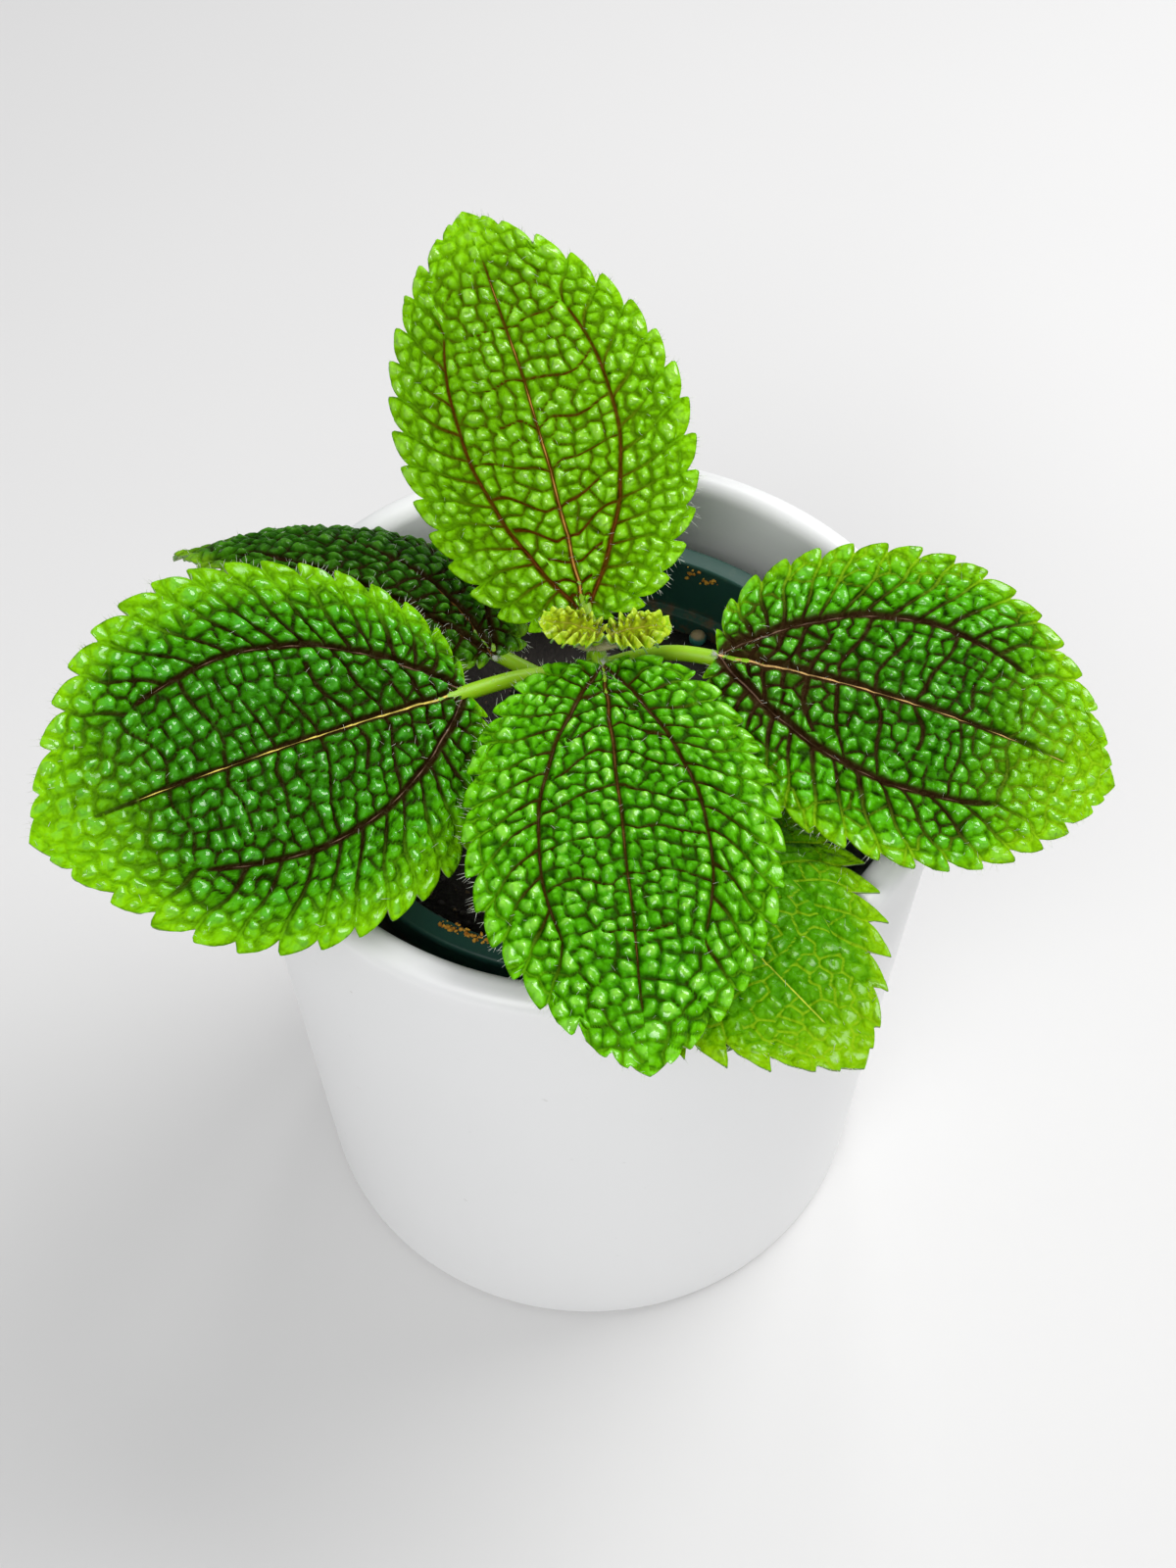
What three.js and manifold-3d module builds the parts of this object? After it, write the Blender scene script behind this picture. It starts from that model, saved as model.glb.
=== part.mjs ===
// Friendship plant in a grower's pot, standing in a ceramic outer pot.
// Millimetres, +Z up, origin at the centre of the outer pot's flat bottom, front of the plant toward -Y.
import * as THREE from 'three';
import { mergeVertices } from 'three/addons/utils/BufferGeometryUtils.js';
import Module from 'manifold-3d';

const wasm = await Module();
wasm.setup();

// ---- Driving dimensions ----
const CLEARANCE = 0.3;

const POT_SEGMENTS = 48;
const OUTER_POT_HEIGHT = 138.6;
const OUTER_POT_BASE_RADIUS = 62.3;
const OUTER_POT_RIM_RADIUS = 66.7;
const OUTER_POT_MOUTH_RADIUS = 60.3;
const OUTER_POT_FLOOR = 12;

const INNER_POT_RIM_RADIUS = 53;
const INNER_POT_FOOT_RADIUS = 39;
const INNER_POT_TOP = 128.5;
const INNER_POT_BOTTOM = OUTER_POT_FLOOR + CLEARANCE;
const INNER_POT_WALL = 1.6;
const RIM_LEDGE_WIDTH = 4.5;
const RIM_COLLAR_DEPTH = 13.5;

const SOIL_LEVEL = 111.5;
const SOIL_UNEVENNESS = 1.6;

const STEM_RADIUS = 2.3;
const PETIOLE_RADIUS = 1.45;
const BLADE_THICKNESS = 0.85;
const TOOTH_DEPTH = 2.2;
const CELL_RISE = 0.95;
const VEIN_DROP = 0.35;
const MAIN_VEIN_DROP = 0.7;

// Columns of the raised net in half a blade, as shares of the way from midrib to margin.
// The third line, at one half, is the arched side vein.
const COLUMNS = [0, 0.25, 0.5, 0.67, 0.84, 1];
const YOUNG_COLUMNS = [0, 0.5, 0.75, 1];

// Each leaf, with angles in degrees:
// base: where the blade leaves its stalk; heading: anticlockwise from +X; rise: of the blade there;
// roll: about its midrib, left side up; arch: how far it bends down from base to tip;
// cup: how far each half bends up, so below zero they fold down; bend: sideways, as a share of length;
// widest, tip: the outline's shape; rows: teeth a side; stalk: its path out from inside the stem.
const LEAVES = [
  {
    name: 'leaf_upper_back', base: [-1.3, 8.4, 156], heading: 105.5, rise: 38.5, roll: -21.3,
    arch: 15, cup: -13, bend: 0.112, length: 76.4, width: 55.5, widest: 0.454, tip: 0.165, rows: 16,
    stalk: [[1, 0.6, 151.6], [0.4, 4.2, 153.6]], color: 0x5fae1c, seed: 11,
  },
  {
    name: 'leaf_upper_front', base: [2.3, -5.8, 154.8], heading: -85.1, rise: 3.6, roll: 1.1,
    arch: 17, cup: -9.6, bend: 0, length: 78.4, width: 53.7, widest: 0.443, tip: 0.227, rows: 16,
    stalk: [[1, 1, 151.4], [1.6, -2.4, 153.2]], color: 0x52a318, seed: 23,
  },
  {
    name: 'leaf_middle_left', base: [-21.9, -7.9, 150.2], heading: 219.9, rise: 22.7, roll: -26.5,
    arch: 19.7, cup: 0, bend: 0.012, length: 82, width: 68.5, widest: 0.498, tip: 0.167, rows: 17,
    stalk: [[0.6, 4, 141], [-6, 1.6, 144.2], [-14.5, -3.4, 148]], color: 0x3f9012, seed: 37,
  },
  {
    name: 'leaf_middle_right', base: [22.7, -2.1, 153.3], heading: -19.5, rise: 7.1, roll: 17.8,
    arch: 32.8, cup: 0, bend: -0.033, length: 74.3, width: 59.4, widest: 0.469, tip: 0.196, rows: 17,
    stalk: [[0.8, 3.8, 142.6], [8.5, 2.6, 147.4], [16, 0.2, 151.2]], color: 0x479a14, seed: 41,
  },
  {
    name: 'leaf_lower_back_left', base: [-18, 6, 143.9], heading: 122, rise: 28.6, roll: 22,
    arch: 78, cup: -31, bend: 0.42, length: 65.4, width: 43, widest: 0.45, tip: 0.14, rows: 14,
    stalk: [[0.2, 8.6, 128.4], [-5, 8, 133], [-11.4, 6.4, 139.4]], color: 0x2f7a10, seed: 53,
  },
  {
    name: 'leaf_lower_front_right', base: [0.3, -22.9, 136.8], heading: -51.9, rise: 14.6, roll: -2.8,
    arch: 19.5, cup: -5.9, bend: -0.006, length: 71.1, width: 58.2, widest: 0.454, tip: 0.154, rows: 15,
    stalk: [[0.2, 8, 127], [0, -3, 129.4], [-0.4, -14, 133.2]], color: 0x6fb81f, seed: 67,
  },
];

// The two leaves that are still unfolding at the top of the stem.
const YOUNG_LEAVES = [
  {
    name: 'young_leaf_left', base: [-0.4, -2.4, 159], heading: 152, rise: 30, roll: 12,
    arch: 40, cup: -30, bend: 0, length: 13, width: 10.5, widest: 0.45, tip: 0.2, rows: 7, young: true,
    stalk: [[0.9, -1.6, 156.8], [0.3, -2.2, 158.2]], color: 0x9bb83a, seed: 71,
  },
  {
    name: 'young_leaf_right', base: [2.4, -2.4, 159], heading: 22, rise: 30, roll: -12,
    arch: 40, cup: -30, bend: 0, length: 13, width: 10.5, widest: 0.45, tip: 0.2, rows: 7, young: true,
    stalk: [[1.1, -1.6, 156.8], [1.7, -2.2, 158.2]], color: 0x9bb83a, seed: 83,
  },
];

const STEM_PATH = [
  [-1.5, 14, 96],
  [-0.6, 11.4, 112],
  [0.2, 8.2, 128],
  [0.8, 3.6, 142],
  [1, 0.4, 152],
  [1, -1.8, 158],
];

// ---- Small tools ----
function randomSource(seed) {
  let state = seed;
  return () => {
    state = (state * 1664525 + 1013904223) % 4294967296;
    return state / 4294967296;
  };
}

function bezier(a, b, c, d, u) {
  const v = 1 - u;
  return v * v * v * a + 3 * v * v * u * b + 3 * v * u * u * c + u * u * u * d;
}

function meshGeometry(points, faces) {
  const geometry = new THREE.BufferGeometry();
  const positions = points.flatMap((point) => [point.x, point.y, point.z]);
  geometry.setAttribute('position', new THREE.Float32BufferAttribute(positions, 3));
  geometry.setIndex(faces.flat());
  return geometry;
}

function toSolid(geometry) {
  const bare = geometry.clone();
  bare.deleteAttribute('normal');
  bare.deleteAttribute('uv');
  const merged = mergeVertices(bare, 1e-4);
  return new wasm.Manifold(new wasm.Mesh({
    numProp: 3,
    vertProperties: new Float32Array(merged.attributes.position.array),
    triVerts: new Uint32Array(merged.index.array),
  }));
}

function fromSolid(solid) {
  const mesh = solid.getMesh();
  const geometry = new THREE.BufferGeometry();
  geometry.setAttribute('position', new THREE.Float32BufferAttribute(mesh.vertProperties, 3));
  geometry.setIndex(Array.from(mesh.triVerts));
  return geometry;
}

// A closed round bar whose radius may change along its path.
function barGeometry(path, radii, sides) {
  const points = [];
  const faces = [];
  const tangents = path.map((_, i) => {
    const before = path[Math.max(0, i - 1)];
    const after = path[Math.min(path.length - 1, i + 1)];
    return after.clone().sub(before).normalize();
  });
  let across = new THREE.Vector3(0, 0, 1).cross(tangents[0]);
  if (across.length() < 0.2) across = new THREE.Vector3(0, 1, 0).cross(tangents[0]);
  path.forEach((centre, i) => {
    across.addScaledVector(tangents[i], -across.dot(tangents[i])).normalize();
    const other = tangents[i].clone().cross(across);
    for (let k = 0; k < sides; k += 1) {
      const angle = (2 * Math.PI * k) / sides;
      points.push(centre.clone()
        .addScaledVector(across, Math.cos(angle) * radii[i])
        .addScaledVector(other, Math.sin(angle) * radii[i]));
    }
  });
  for (let i = 0; i + 1 < path.length; i += 1) {
    for (let k = 0; k < sides; k += 1) {
      const a = i * sides + k;
      const b = i * sides + ((k + 1) % sides);
      faces.push([a, b, b + sides], [a, b + sides, a + sides]);
    }
  }
  const last = (path.length - 1) * sides;
  for (let k = 1; k + 1 < sides; k += 1) {
    faces.push([0, k + 1, k], [last, last + k, last + k + 1]);
  }
  return meshGeometry(points, faces);
}

// ---- Leaf blades ----
// Half of the leaf's outline as shares of its length and width, evenly spaced along the edge.
function outlineOf(leaf) {
  const fine = [];
  const lower = [[0, 0], [-0.1, 0.2], [leaf.widest - 0.34, 0.5], [leaf.widest, 0.5]];
  const upper = [[leaf.widest, 0.5], [leaf.widest + 0.3, 0.5], [0.94, leaf.tip], [1, 0]];
  for (const curve of [lower, upper]) {
    for (let i = 0; i <= 120; i += 1) {
      const u = i / 120;
      fine.push([0, 1].map((axis) => bezier(...curve.map((point) => point[axis]), u)));
    }
  }
  const reach = [0];
  for (let i = 1; i < fine.length; i += 1) {
    const dx = fine[i][0] - fine[i - 1][0];
    const dy = (fine[i][1] - fine[i - 1][1]) * 0.77;
    reach.push(reach[i - 1] + Math.hypot(dx, dy));
  }
  const total = reach[reach.length - 1];
  return (share) => {
    const target = Math.min(Math.max(share, 0), 1) * total;
    let i = 1;
    while (i < reach.length - 1 && reach[i] < target) i += 1;
    const step = reach[i] - reach[i - 1];
    const mix = step > 0 ? (target - reach[i - 1]) / step : 0;
    return fine[i].map((value, axis) => fine[i - 1][axis] + (value - fine[i - 1][axis]) * mix);
  };
}

// Where row `share` meets the arched side vein, and where it leaves the midrib.
function sideVein(share) {
  const u = share - 0.1 * Math.sin(Math.PI * share);
  return [bezier(0, 0.26, 0.58, 1, u), bezier(0, 0.27, 0.42, 0, u)];
}

function midribFoot(share) {
  return sideVein(share)[0] - 0.05 * Math.sin(Math.PI * share);
}

// A point of the flat blade: along a row, from the midrib through the side vein to the margin.
function flatPoint(outline, share, column, inset) {
  const [veinX, veinY] = sideVein(share);
  if (column <= 0.5) {
    const foot = midribFoot(share);
    const mix = column / 0.5;
    return [foot + (veinX - foot) * mix, veinY * mix];
  }
  const [edgeX, edgeY] = outline(share);
  const mix = ((column - 0.5) / 0.5) * (1 - inset);
  return [veinX + (edgeX - veinX) * mix, veinY + (edgeY - veinY) * mix];
}

// Carries a flat point, `lift` above the blade's surface, to its place on the curved leaf.
function placer(leaf) {
  const arch = THREE.MathUtils.degToRad(leaf.arch);
  const cup = THREE.MathUtils.degToRad(leaf.cup) / (leaf.width / 2);
  const turn = new THREE.Matrix4().makeRotationFromEuler(new THREE.Euler(
    THREE.MathUtils.degToRad(leaf.roll),
    THREE.MathUtils.degToRad(-leaf.rise),
    THREE.MathUtils.degToRad(leaf.heading),
    'ZYX',
  ));
  const base = new THREE.Vector3(...leaf.base);
  return ([x, y], lift) => {
    const across = y * leaf.width;
    const side = cup ? Math.sin(cup * across) / cup : across;
    const height = lift + (cup ? (1 - Math.cos(cup * across)) / cup : 0);
    const point = new THREE.Vector3(
      (leaf.length * Math.sin(arch * x)) / arch + Math.sin(arch * x) * height,
      side + leaf.bend * leaf.length * x * x,
      (-leaf.length * (1 - Math.cos(arch * x))) / arch + Math.cos(arch * x) * height,
    );
    return point.applyMatrix4(turn).add(base);
  };
}

// How deep the midrib's furrow lies at a row, shallower toward both ends of the blade.
function midribLift(leaf, row) {
  const ends = Math.min(1, row / 2, (leaf.rows - row) / 2);
  return -MAIN_VEIN_DROP * ends * Math.min(1, (leaf.length / 78) * 1.4);
}

// The blade: a net of low veins with a raised facet cell in each mesh, a toothed margin, and an
// underside that follows the top at the blade's thickness.
function bladeGeometry(leaf, place) {
  const outline = outlineOf(leaf);
  const random = randomSource(leaf.seed);
  const spots = [];
  const topFaces = [];
  const margins = [];
  const small = leaf.length / 78;
  const add = (flat, lift) => spots.push([flat, lift]) - 1;
  const wobble = (amount) => (random() - 0.5) * 2 * amount;
  const columns = leaf.young ? YOUNG_COLUMNS : COLUMNS;
  const lastColumn = columns.length - 1;
  const baseSpot = add([0, 0], -0.2 * small);
  const tipSpot = add([1, 0], -0.2 * small);

  const midrib = [baseSpot];
  for (let i = 1; i < leaf.rows; i += 1) {
    midrib.push(add([midribFoot(i / leaf.rows), 0], midribLift(leaf, i)));
  }
  midrib.push(tipSpot);

  for (const side of [1, -1]) {
    const mirrored = (flat) => [flat[0], flat[1] * side];
    const corners = [];
    for (let i = 0; i <= leaf.rows; i += 1) {
      const share = i / leaf.rows;
      const ends = Math.min(1, i / 2, (leaf.rows - i) / 2);
      corners.push(columns.map((column, j) => {
        if (i === 0) return baseSpot;
        if (i === leaf.rows) return tipSpot;
        if (j === 0) return midrib[i];
        const edge = j === lastColumn;
        const onVein = column === 0.5;
        const reach = Math.hypot(
          (outline(share)[0] - sideVein(share)[0]) * leaf.length,
          (outline(share)[1] - sideVein(share)[1]) * leaf.width,
        );
        const inset = edge ? Math.min(0.3, (TOOTH_DEPTH * small) / reach) : 0;
        const slip = edge || onVein ? 0 : wobble(0.012);
        const drop = onVein ? MAIN_VEIN_DROP * 0.85 : VEIN_DROP * (edge ? 0.2 : 1);
        const flat = flatPoint(outline, share + wobble(0.004), column + slip, inset);
        return add(mirrored(flat), -drop * ends * Math.min(1, small * 1.4));
      }));
    }

    for (let i = 0; i < leaf.rows; i += 1) {
      for (let j = 0; j < lastColumn; j += 1) {
        const near = corners[i];
        const far = corners[i + 1];
        const middle = (i + 0.5) / leaf.rows;
        const column = (columns[j] + columns[j + 1]) / 2;
        const ends = Math.min(1, (i + 1) / 3, (leaf.rows - i) / 3);
        const edge = j === lastColumn - 1;
        const centreFlat = flatPoint(outline, middle + wobble(0.006), column + wobble(0.02), 0);
        const fullness = (edge ? 0.5 : 1) * (0.85 + 0.3 * random());
        const rise = CELL_RISE * fullness * ends * Math.min(1, small * 1.6);
        const centre = add(mirrored(centreFlat), rise);
        const ring = [near[j], near[j + 1]];
        if (edge) {
          const shoulder = add(mirrored(flatPoint(outline, (i + 0.4) / leaf.rows, 1, 0.025)), 0.05);
          const point = add(mirrored(flatPoint(outline, (i + 0.88) / leaf.rows, 1, 0)), 0);
          ring.push(shoulder, point);
          margins.push([side, near[j + 1], shoulder, point, far[j + 1]]);
        }
        ring.push(far[j + 1], far[j]);
        ring.forEach((spot, k) => {
          const next = ring[(k + 1) % ring.length];
          if (spot === next) return;
          topFaces.push(side > 0 ? [centre, next, spot] : [centre, spot, next]);
        });
      }
    }
  }

  const top = spots.map(([flat, lift]) => place(flat, lift));
  const under = spots.map(([flat, lift]) => place(flat, lift - BLADE_THICKNESS));
  const count = spots.length;
  const faces = topFaces.concat(topFaces.map(([a, b, c]) => [a + count, c + count, b + count]));
  for (const [side, ...line] of margins) {
    for (let k = 0; k + 1 < line.length; k += 1) {
      const [a, b] = side > 0 ? [line[k], line[k + 1]] : [line[k + 1], line[k]];
      faces.push([a, b, b + count], [a, b + count, a + count]);
    }
  }
  return meshGeometry(top.concat(under), faces);
}

// The leaf stalk, which runs on under the blade as a tapering midrib.
function stalkGeometry(leaf, place) {
  const radius = PETIOLE_RADIUS * Math.min(1, leaf.length / 50);
  const knots = leaf.stalk.map((point) => new THREE.Vector3(...point));
  const ribs = [];
  const ribStep = leaf.young ? 1 : 2;
  const lastRow = leaf.young ? 2 : leaf.rows * 0.8;
  for (let row = 1; row <= lastRow; row += ribStep) {
    const share = midribFoot(row / leaf.rows);
    const ribRadius = radius * (0.9 - 0.85 * share);
    const lift = midribLift(leaf, row) - BLADE_THICKNESS * 0.5 - ribRadius * 0.8;
    ribs.push({ spot: place([share, 0], lift), radius: ribRadius });
  }
  const guides = [...knots, ribs[0].spot, ribs[1].spot];
  const approach = new THREE.CatmullRomCurve3(guides, false, 'centripetal');
  const share = knots.length / (knots.length + 1);
  const steps = knots.length * 2;
  const path = [];
  for (let i = 0; i < steps; i += 1) path.push(approach.getPoint((share * i) / steps));
  const radii = path.map((_, i) => radius * (i === 0 ? 1.15 : 1));
  for (const rib of ribs) {
    path.push(rib.spot);
    radii.push(rib.radius);
  }
  return barGeometry(path, radii, 6);
}

function stemSolid(growth) {
  const knots = STEM_PATH.map((point) => new THREE.Vector3(...point));
  const curve = new THREE.CatmullRomCurve3(knots, false, 'centripetal');
  const steps = 12;
  const path = curve.getPoints(steps);
  const radii = path.map((_, i) => STEM_RADIUS * (1 - 0.35 * (i / steps)) + growth);
  const last = path.length - 1;
  path[last].add(path[last].clone().sub(path[last - 1]).setLength(growth));
  path[0].add(path[0].clone().sub(path[1]).setLength(growth));
  return toSolid(barGeometry(path, radii, 8));
}

const stem = stemSolid(0);
const stemSpace = stemSolid(CLEARANCE);

function largestPiece(solid) {
  return solid.decompose().reduce((best, piece) => (piece.volume() > best.volume() ? piece : best));
}

function leafMesh(leaf) {
  const place = placer(leaf);
  const blade = toSolid(bladeGeometry(leaf, place));
  const stalk = toSolid(stalkGeometry(leaf, place));
  const whole = largestPiece(blade.add(stalk).subtract(stemSpace));
  const material = new THREE.MeshStandardMaterial({ color: leaf.color, roughness: 0.42, metalness: 0 });
  const mesh = new THREE.Mesh(fromSolid(whole), material);
  mesh.name = leaf.name;
  return mesh;
}

// ---- Pots ----
function turned(profile, segments) {
  const geometry = new THREE.LatheGeometry(profile.map(([r, z]) => new THREE.Vector2(r, z)), segments);
  geometry.rotateX(Math.PI / 2);
  return geometry;
}

const outerWallAt = (z) => (
  OUTER_POT_BASE_RADIUS + ((OUTER_POT_RIM_RADIUS - OUTER_POT_BASE_RADIUS) * z) / OUTER_POT_HEIGHT
);
const outerPot = new THREE.Mesh(
  turned([
    [0, 0],
    [OUTER_POT_BASE_RADIUS - 2, 0],
    [OUTER_POT_BASE_RADIUS - 0.6, 0.5],
    [outerWallAt(2.2), 2.2],
    [outerWallAt(70), 70],
    [OUTER_POT_RIM_RADIUS, OUTER_POT_HEIGHT - 4.6],
    [OUTER_POT_RIM_RADIUS - 0.35, OUTER_POT_HEIGHT - 2.4],
    [OUTER_POT_RIM_RADIUS - 1.4, OUTER_POT_HEIGHT - 0.8],
    [OUTER_POT_RIM_RADIUS - 3.2, OUTER_POT_HEIGHT],
    [OUTER_POT_RIM_RADIUS - 5, OUTER_POT_HEIGHT - 0.8],
    [OUTER_POT_MOUTH_RADIUS, OUTER_POT_HEIGHT - 2.4],
    [OUTER_POT_MOUTH_RADIUS - 0.4, OUTER_POT_HEIGHT - 5],
    [OUTER_POT_MOUTH_RADIUS - 3.2, OUTER_POT_FLOOR + 5],
    [OUTER_POT_MOUTH_RADIUS - 7, OUTER_POT_FLOOR],
    [0, OUTER_POT_FLOOR],
  ], POT_SEGMENTS),
  new THREE.MeshStandardMaterial({ color: 0xe9eaec, roughness: 0.28, metalness: 0 }),
);
outerPot.name = 'cachepot';

// The thin wall of the grower's pot steps in below a straight collar under its rim ledge.
const collarBottom = INNER_POT_TOP - RIM_COLLAR_DEPTH;
const collarInside = INNER_POT_RIM_RADIUS - RIM_LEDGE_WIDTH;
const bodyInside = collarInside - 1.8;
const footInside = INNER_POT_FOOT_RADIUS - INNER_POT_WALL;
const innerPotShell = toSolid(turned([
  [0, INNER_POT_BOTTOM],
  [INNER_POT_FOOT_RADIUS - 1, INNER_POT_BOTTOM],
  [INNER_POT_FOOT_RADIUS, INNER_POT_BOTTOM + 1],
  [bodyInside + INNER_POT_WALL, collarBottom - 1.6],
  [collarInside + INNER_POT_WALL, collarBottom - 1],
  [collarInside + INNER_POT_WALL + 0.2, INNER_POT_TOP - 2.2],
  [INNER_POT_RIM_RADIUS, INNER_POT_TOP - 2],
  [INNER_POT_RIM_RADIUS, INNER_POT_TOP - 0.4],
  [INNER_POT_RIM_RADIUS - 0.4, INNER_POT_TOP],
  [collarInside + 0.3, INNER_POT_TOP],
  [collarInside, INNER_POT_TOP - 0.4],
  [collarInside, collarBottom],
  [bodyInside, collarBottom - 0.6],
  [footInside, INNER_POT_BOTTOM + INNER_POT_WALL],
  [0, INNER_POT_BOTTOM + INNER_POT_WALL],
], POT_SEGMENTS));

// Drain holes through the foot of the grower's pot.
const DRAIN_HOLES = 5;
const DRAIN_RADIUS = 4;
const drains = Array.from({ length: DRAIN_HOLES }, (_, i) => {
  const angle = (2 * Math.PI * i) / DRAIN_HOLES;
  const hole = new THREE.CylinderGeometry(DRAIN_RADIUS, DRAIN_RADIUS, 6, 12);
  hole.rotateX(Math.PI / 2);
  hole.translate(Math.cos(angle) * 26, Math.sin(angle) * 26, INNER_POT_BOTTOM);
  return toSolid(hole);
});
const innerPot = new THREE.Mesh(
  fromSolid(innerPotShell.subtract(wasm.Manifold.union(drains))),
  new THREE.MeshStandardMaterial({ color: 0x1f4a3a, roughness: 0.4, metalness: 0 }),
);
innerPot.name = 'nursery_pot';

// ---- Soil ----
function soilHeight(x, y) {
  const broad = Math.sin(x * 0.21 + 1.3) * Math.cos(y * 0.17 - 0.4);
  const lumps = broad + 0.6 * Math.sin(x * 0.43 - y * 0.37);
  return SOIL_LEVEL + SOIL_UNEVENNESS * lumps * 0.6;
}

function soilGeometry() {
  const segments = 40;
  const bottom = INNER_POT_BOTTOM + INNER_POT_WALL + CLEARANCE;
  const flare = (bodyInside - footInside) / (collarBottom - bottom);
  const wallAt = (z) => footInside + flare * (z - bottom) - CLEARANCE * 1.3;
  const rimRadius = wallAt(SOIL_LEVEL - 4);
  const rings = [0.22, 0.44, 0.65, 0.84, 1];
  const points = [new THREE.Vector3(0, 0, soilHeight(0, 0))];
  const faces = [];
  for (const share of rings) {
    for (let k = 0; k < segments; k += 1) {
      const angle = (2 * Math.PI * k) / segments;
      const x = Math.cos(angle) * rimRadius * share;
      const y = Math.sin(angle) * rimRadius * share;
      points.push(new THREE.Vector3(x, y, soilHeight(x, y)));
    }
  }
  for (const [radius, z] of [[rimRadius, SOIL_LEVEL - 4], [wallAt(bottom), bottom]]) {
    for (let k = 0; k < segments; k += 1) {
      const angle = (2 * Math.PI * k) / segments;
      points.push(new THREE.Vector3(Math.cos(angle) * radius, Math.sin(angle) * radius, z));
    }
  }
  points.push(new THREE.Vector3(0, 0, bottom));
  const last = points.length - 1;
  for (let k = 0; k < segments; k += 1) {
    const next = (k + 1) % segments;
    faces.push([0, 1 + k, 1 + next]);
    for (let ring = 0; ring < rings.length + 1; ring += 1) {
      const a = 1 + ring * segments + k;
      const b = 1 + ring * segments + next;
      faces.push([a, a + segments, b + segments], [a, b + segments, b]);
    }
    const foot = 1 + (rings.length + 1) * segments;
    faces.push([foot + k, last, foot + next]);
  }
  return meshGeometry(points, faces);
}
const soil = new THREE.Mesh(
  fromSolid(toSolid(soilGeometry()).subtract(stemSpace)),
  new THREE.MeshStandardMaterial({ color: 0x14110f, roughness: 0.95, metalness: 0 }),
);
soil.name = 'soil';

// ---- Stem, with the pair of scale-like stipules below its growing tip ----
const stipules = [-1, 1].map((side) => {
  const scale = new THREE.SphereGeometry(1, 10, 6);
  scale.scale(2.6, 1.5, 0.9);
  scale.rotateY(side * -0.5);
  scale.translate(1 + side * 2.6, -2.6, 157.2);
  return toSolid(scale);
});
const stemMesh = new THREE.Mesh(
  fromSolid(stem.add(stipules[0]).add(stipules[1])),
  new THREE.MeshStandardMaterial({ color: 0x8fae4a, roughness: 0.55, metalness: 0 }),
);
stemMesh.name = 'stem';

// ---- Slow-release fertiliser pellet lying on the soil ----
const PELLET_RADIUS = 1.75;
const PELLET_SPOT = [22.4, 38];
const pellet = new THREE.Mesh(
  new THREE.SphereGeometry(PELLET_RADIUS, 12, 8),
  new THREE.MeshStandardMaterial({ color: 0x3fa08a, roughness: 0.4, metalness: 0 }),
);
pellet.name = 'fertiliser_prill';
const straightDown = new THREE.Raycaster(
  new THREE.Vector3(...PELLET_SPOT, INNER_POT_TOP),
  new THREE.Vector3(0, 0, -1),
);
const soilUnderPellet = straightDown.intersectObject(soil)[0].point.z;
pellet.position.set(...PELLET_SPOT, soilUnderPellet + PELLET_RADIUS + CLEARANCE * 1.1);

const plant = new THREE.Group();
plant.add(outerPot, innerPot, soil, stemMesh, pellet);
for (const leaf of [...LEAVES, ...YOUNG_LEAVES]) plant.add(leafMesh(leaf));

export default plant;
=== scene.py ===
"""Friendship plant in a grower's pot inside a ceramic pot: its looks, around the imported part."""

import math
import random

import bmesh
import bpy
import numpy as np
from mathutils import Matrix, Vector, noise


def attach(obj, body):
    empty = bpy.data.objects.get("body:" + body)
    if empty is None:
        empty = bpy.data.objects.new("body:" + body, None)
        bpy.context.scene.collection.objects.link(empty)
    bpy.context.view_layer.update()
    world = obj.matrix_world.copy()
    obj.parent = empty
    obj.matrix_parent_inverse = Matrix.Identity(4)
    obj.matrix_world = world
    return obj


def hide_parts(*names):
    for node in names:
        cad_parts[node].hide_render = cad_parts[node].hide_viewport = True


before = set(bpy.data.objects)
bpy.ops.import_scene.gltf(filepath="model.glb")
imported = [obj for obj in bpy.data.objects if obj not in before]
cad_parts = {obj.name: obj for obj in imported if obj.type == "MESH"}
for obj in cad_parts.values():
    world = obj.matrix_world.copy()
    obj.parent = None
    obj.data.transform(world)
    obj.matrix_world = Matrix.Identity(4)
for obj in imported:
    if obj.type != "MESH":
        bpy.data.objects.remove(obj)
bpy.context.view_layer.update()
scene = bpy.context.scene

# ---------------------------------------------------------------- camera
# Looks down on the plant from the front, so that the leaves are seen nearly face on and the pot
# below them from its rim to its foot.
camera_data = bpy.data.cameras.new("camera")
camera_data.sensor_width = 36
camera_data.lens = 42.75
camera_data.clip_start = 0.01
camera = bpy.data.objects.new("camera", camera_data)
camera.location = (-0.00035, -0.22117, 0.40121)
camera.rotation_euler = (math.radians(37.5), 0, 0)
scene.collection.objects.link(camera)
scene.camera = camera
scene.view_settings.view_transform = "Standard"


# ---------------------------------------------------------------- floor and light
# A plain pale tabletop, lit by a broad soft light from the upper right, another from the front
# left and a pale surround. A small weak light behind the plant puts glints on the blisters.
FLOOR_REACH = 3


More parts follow.
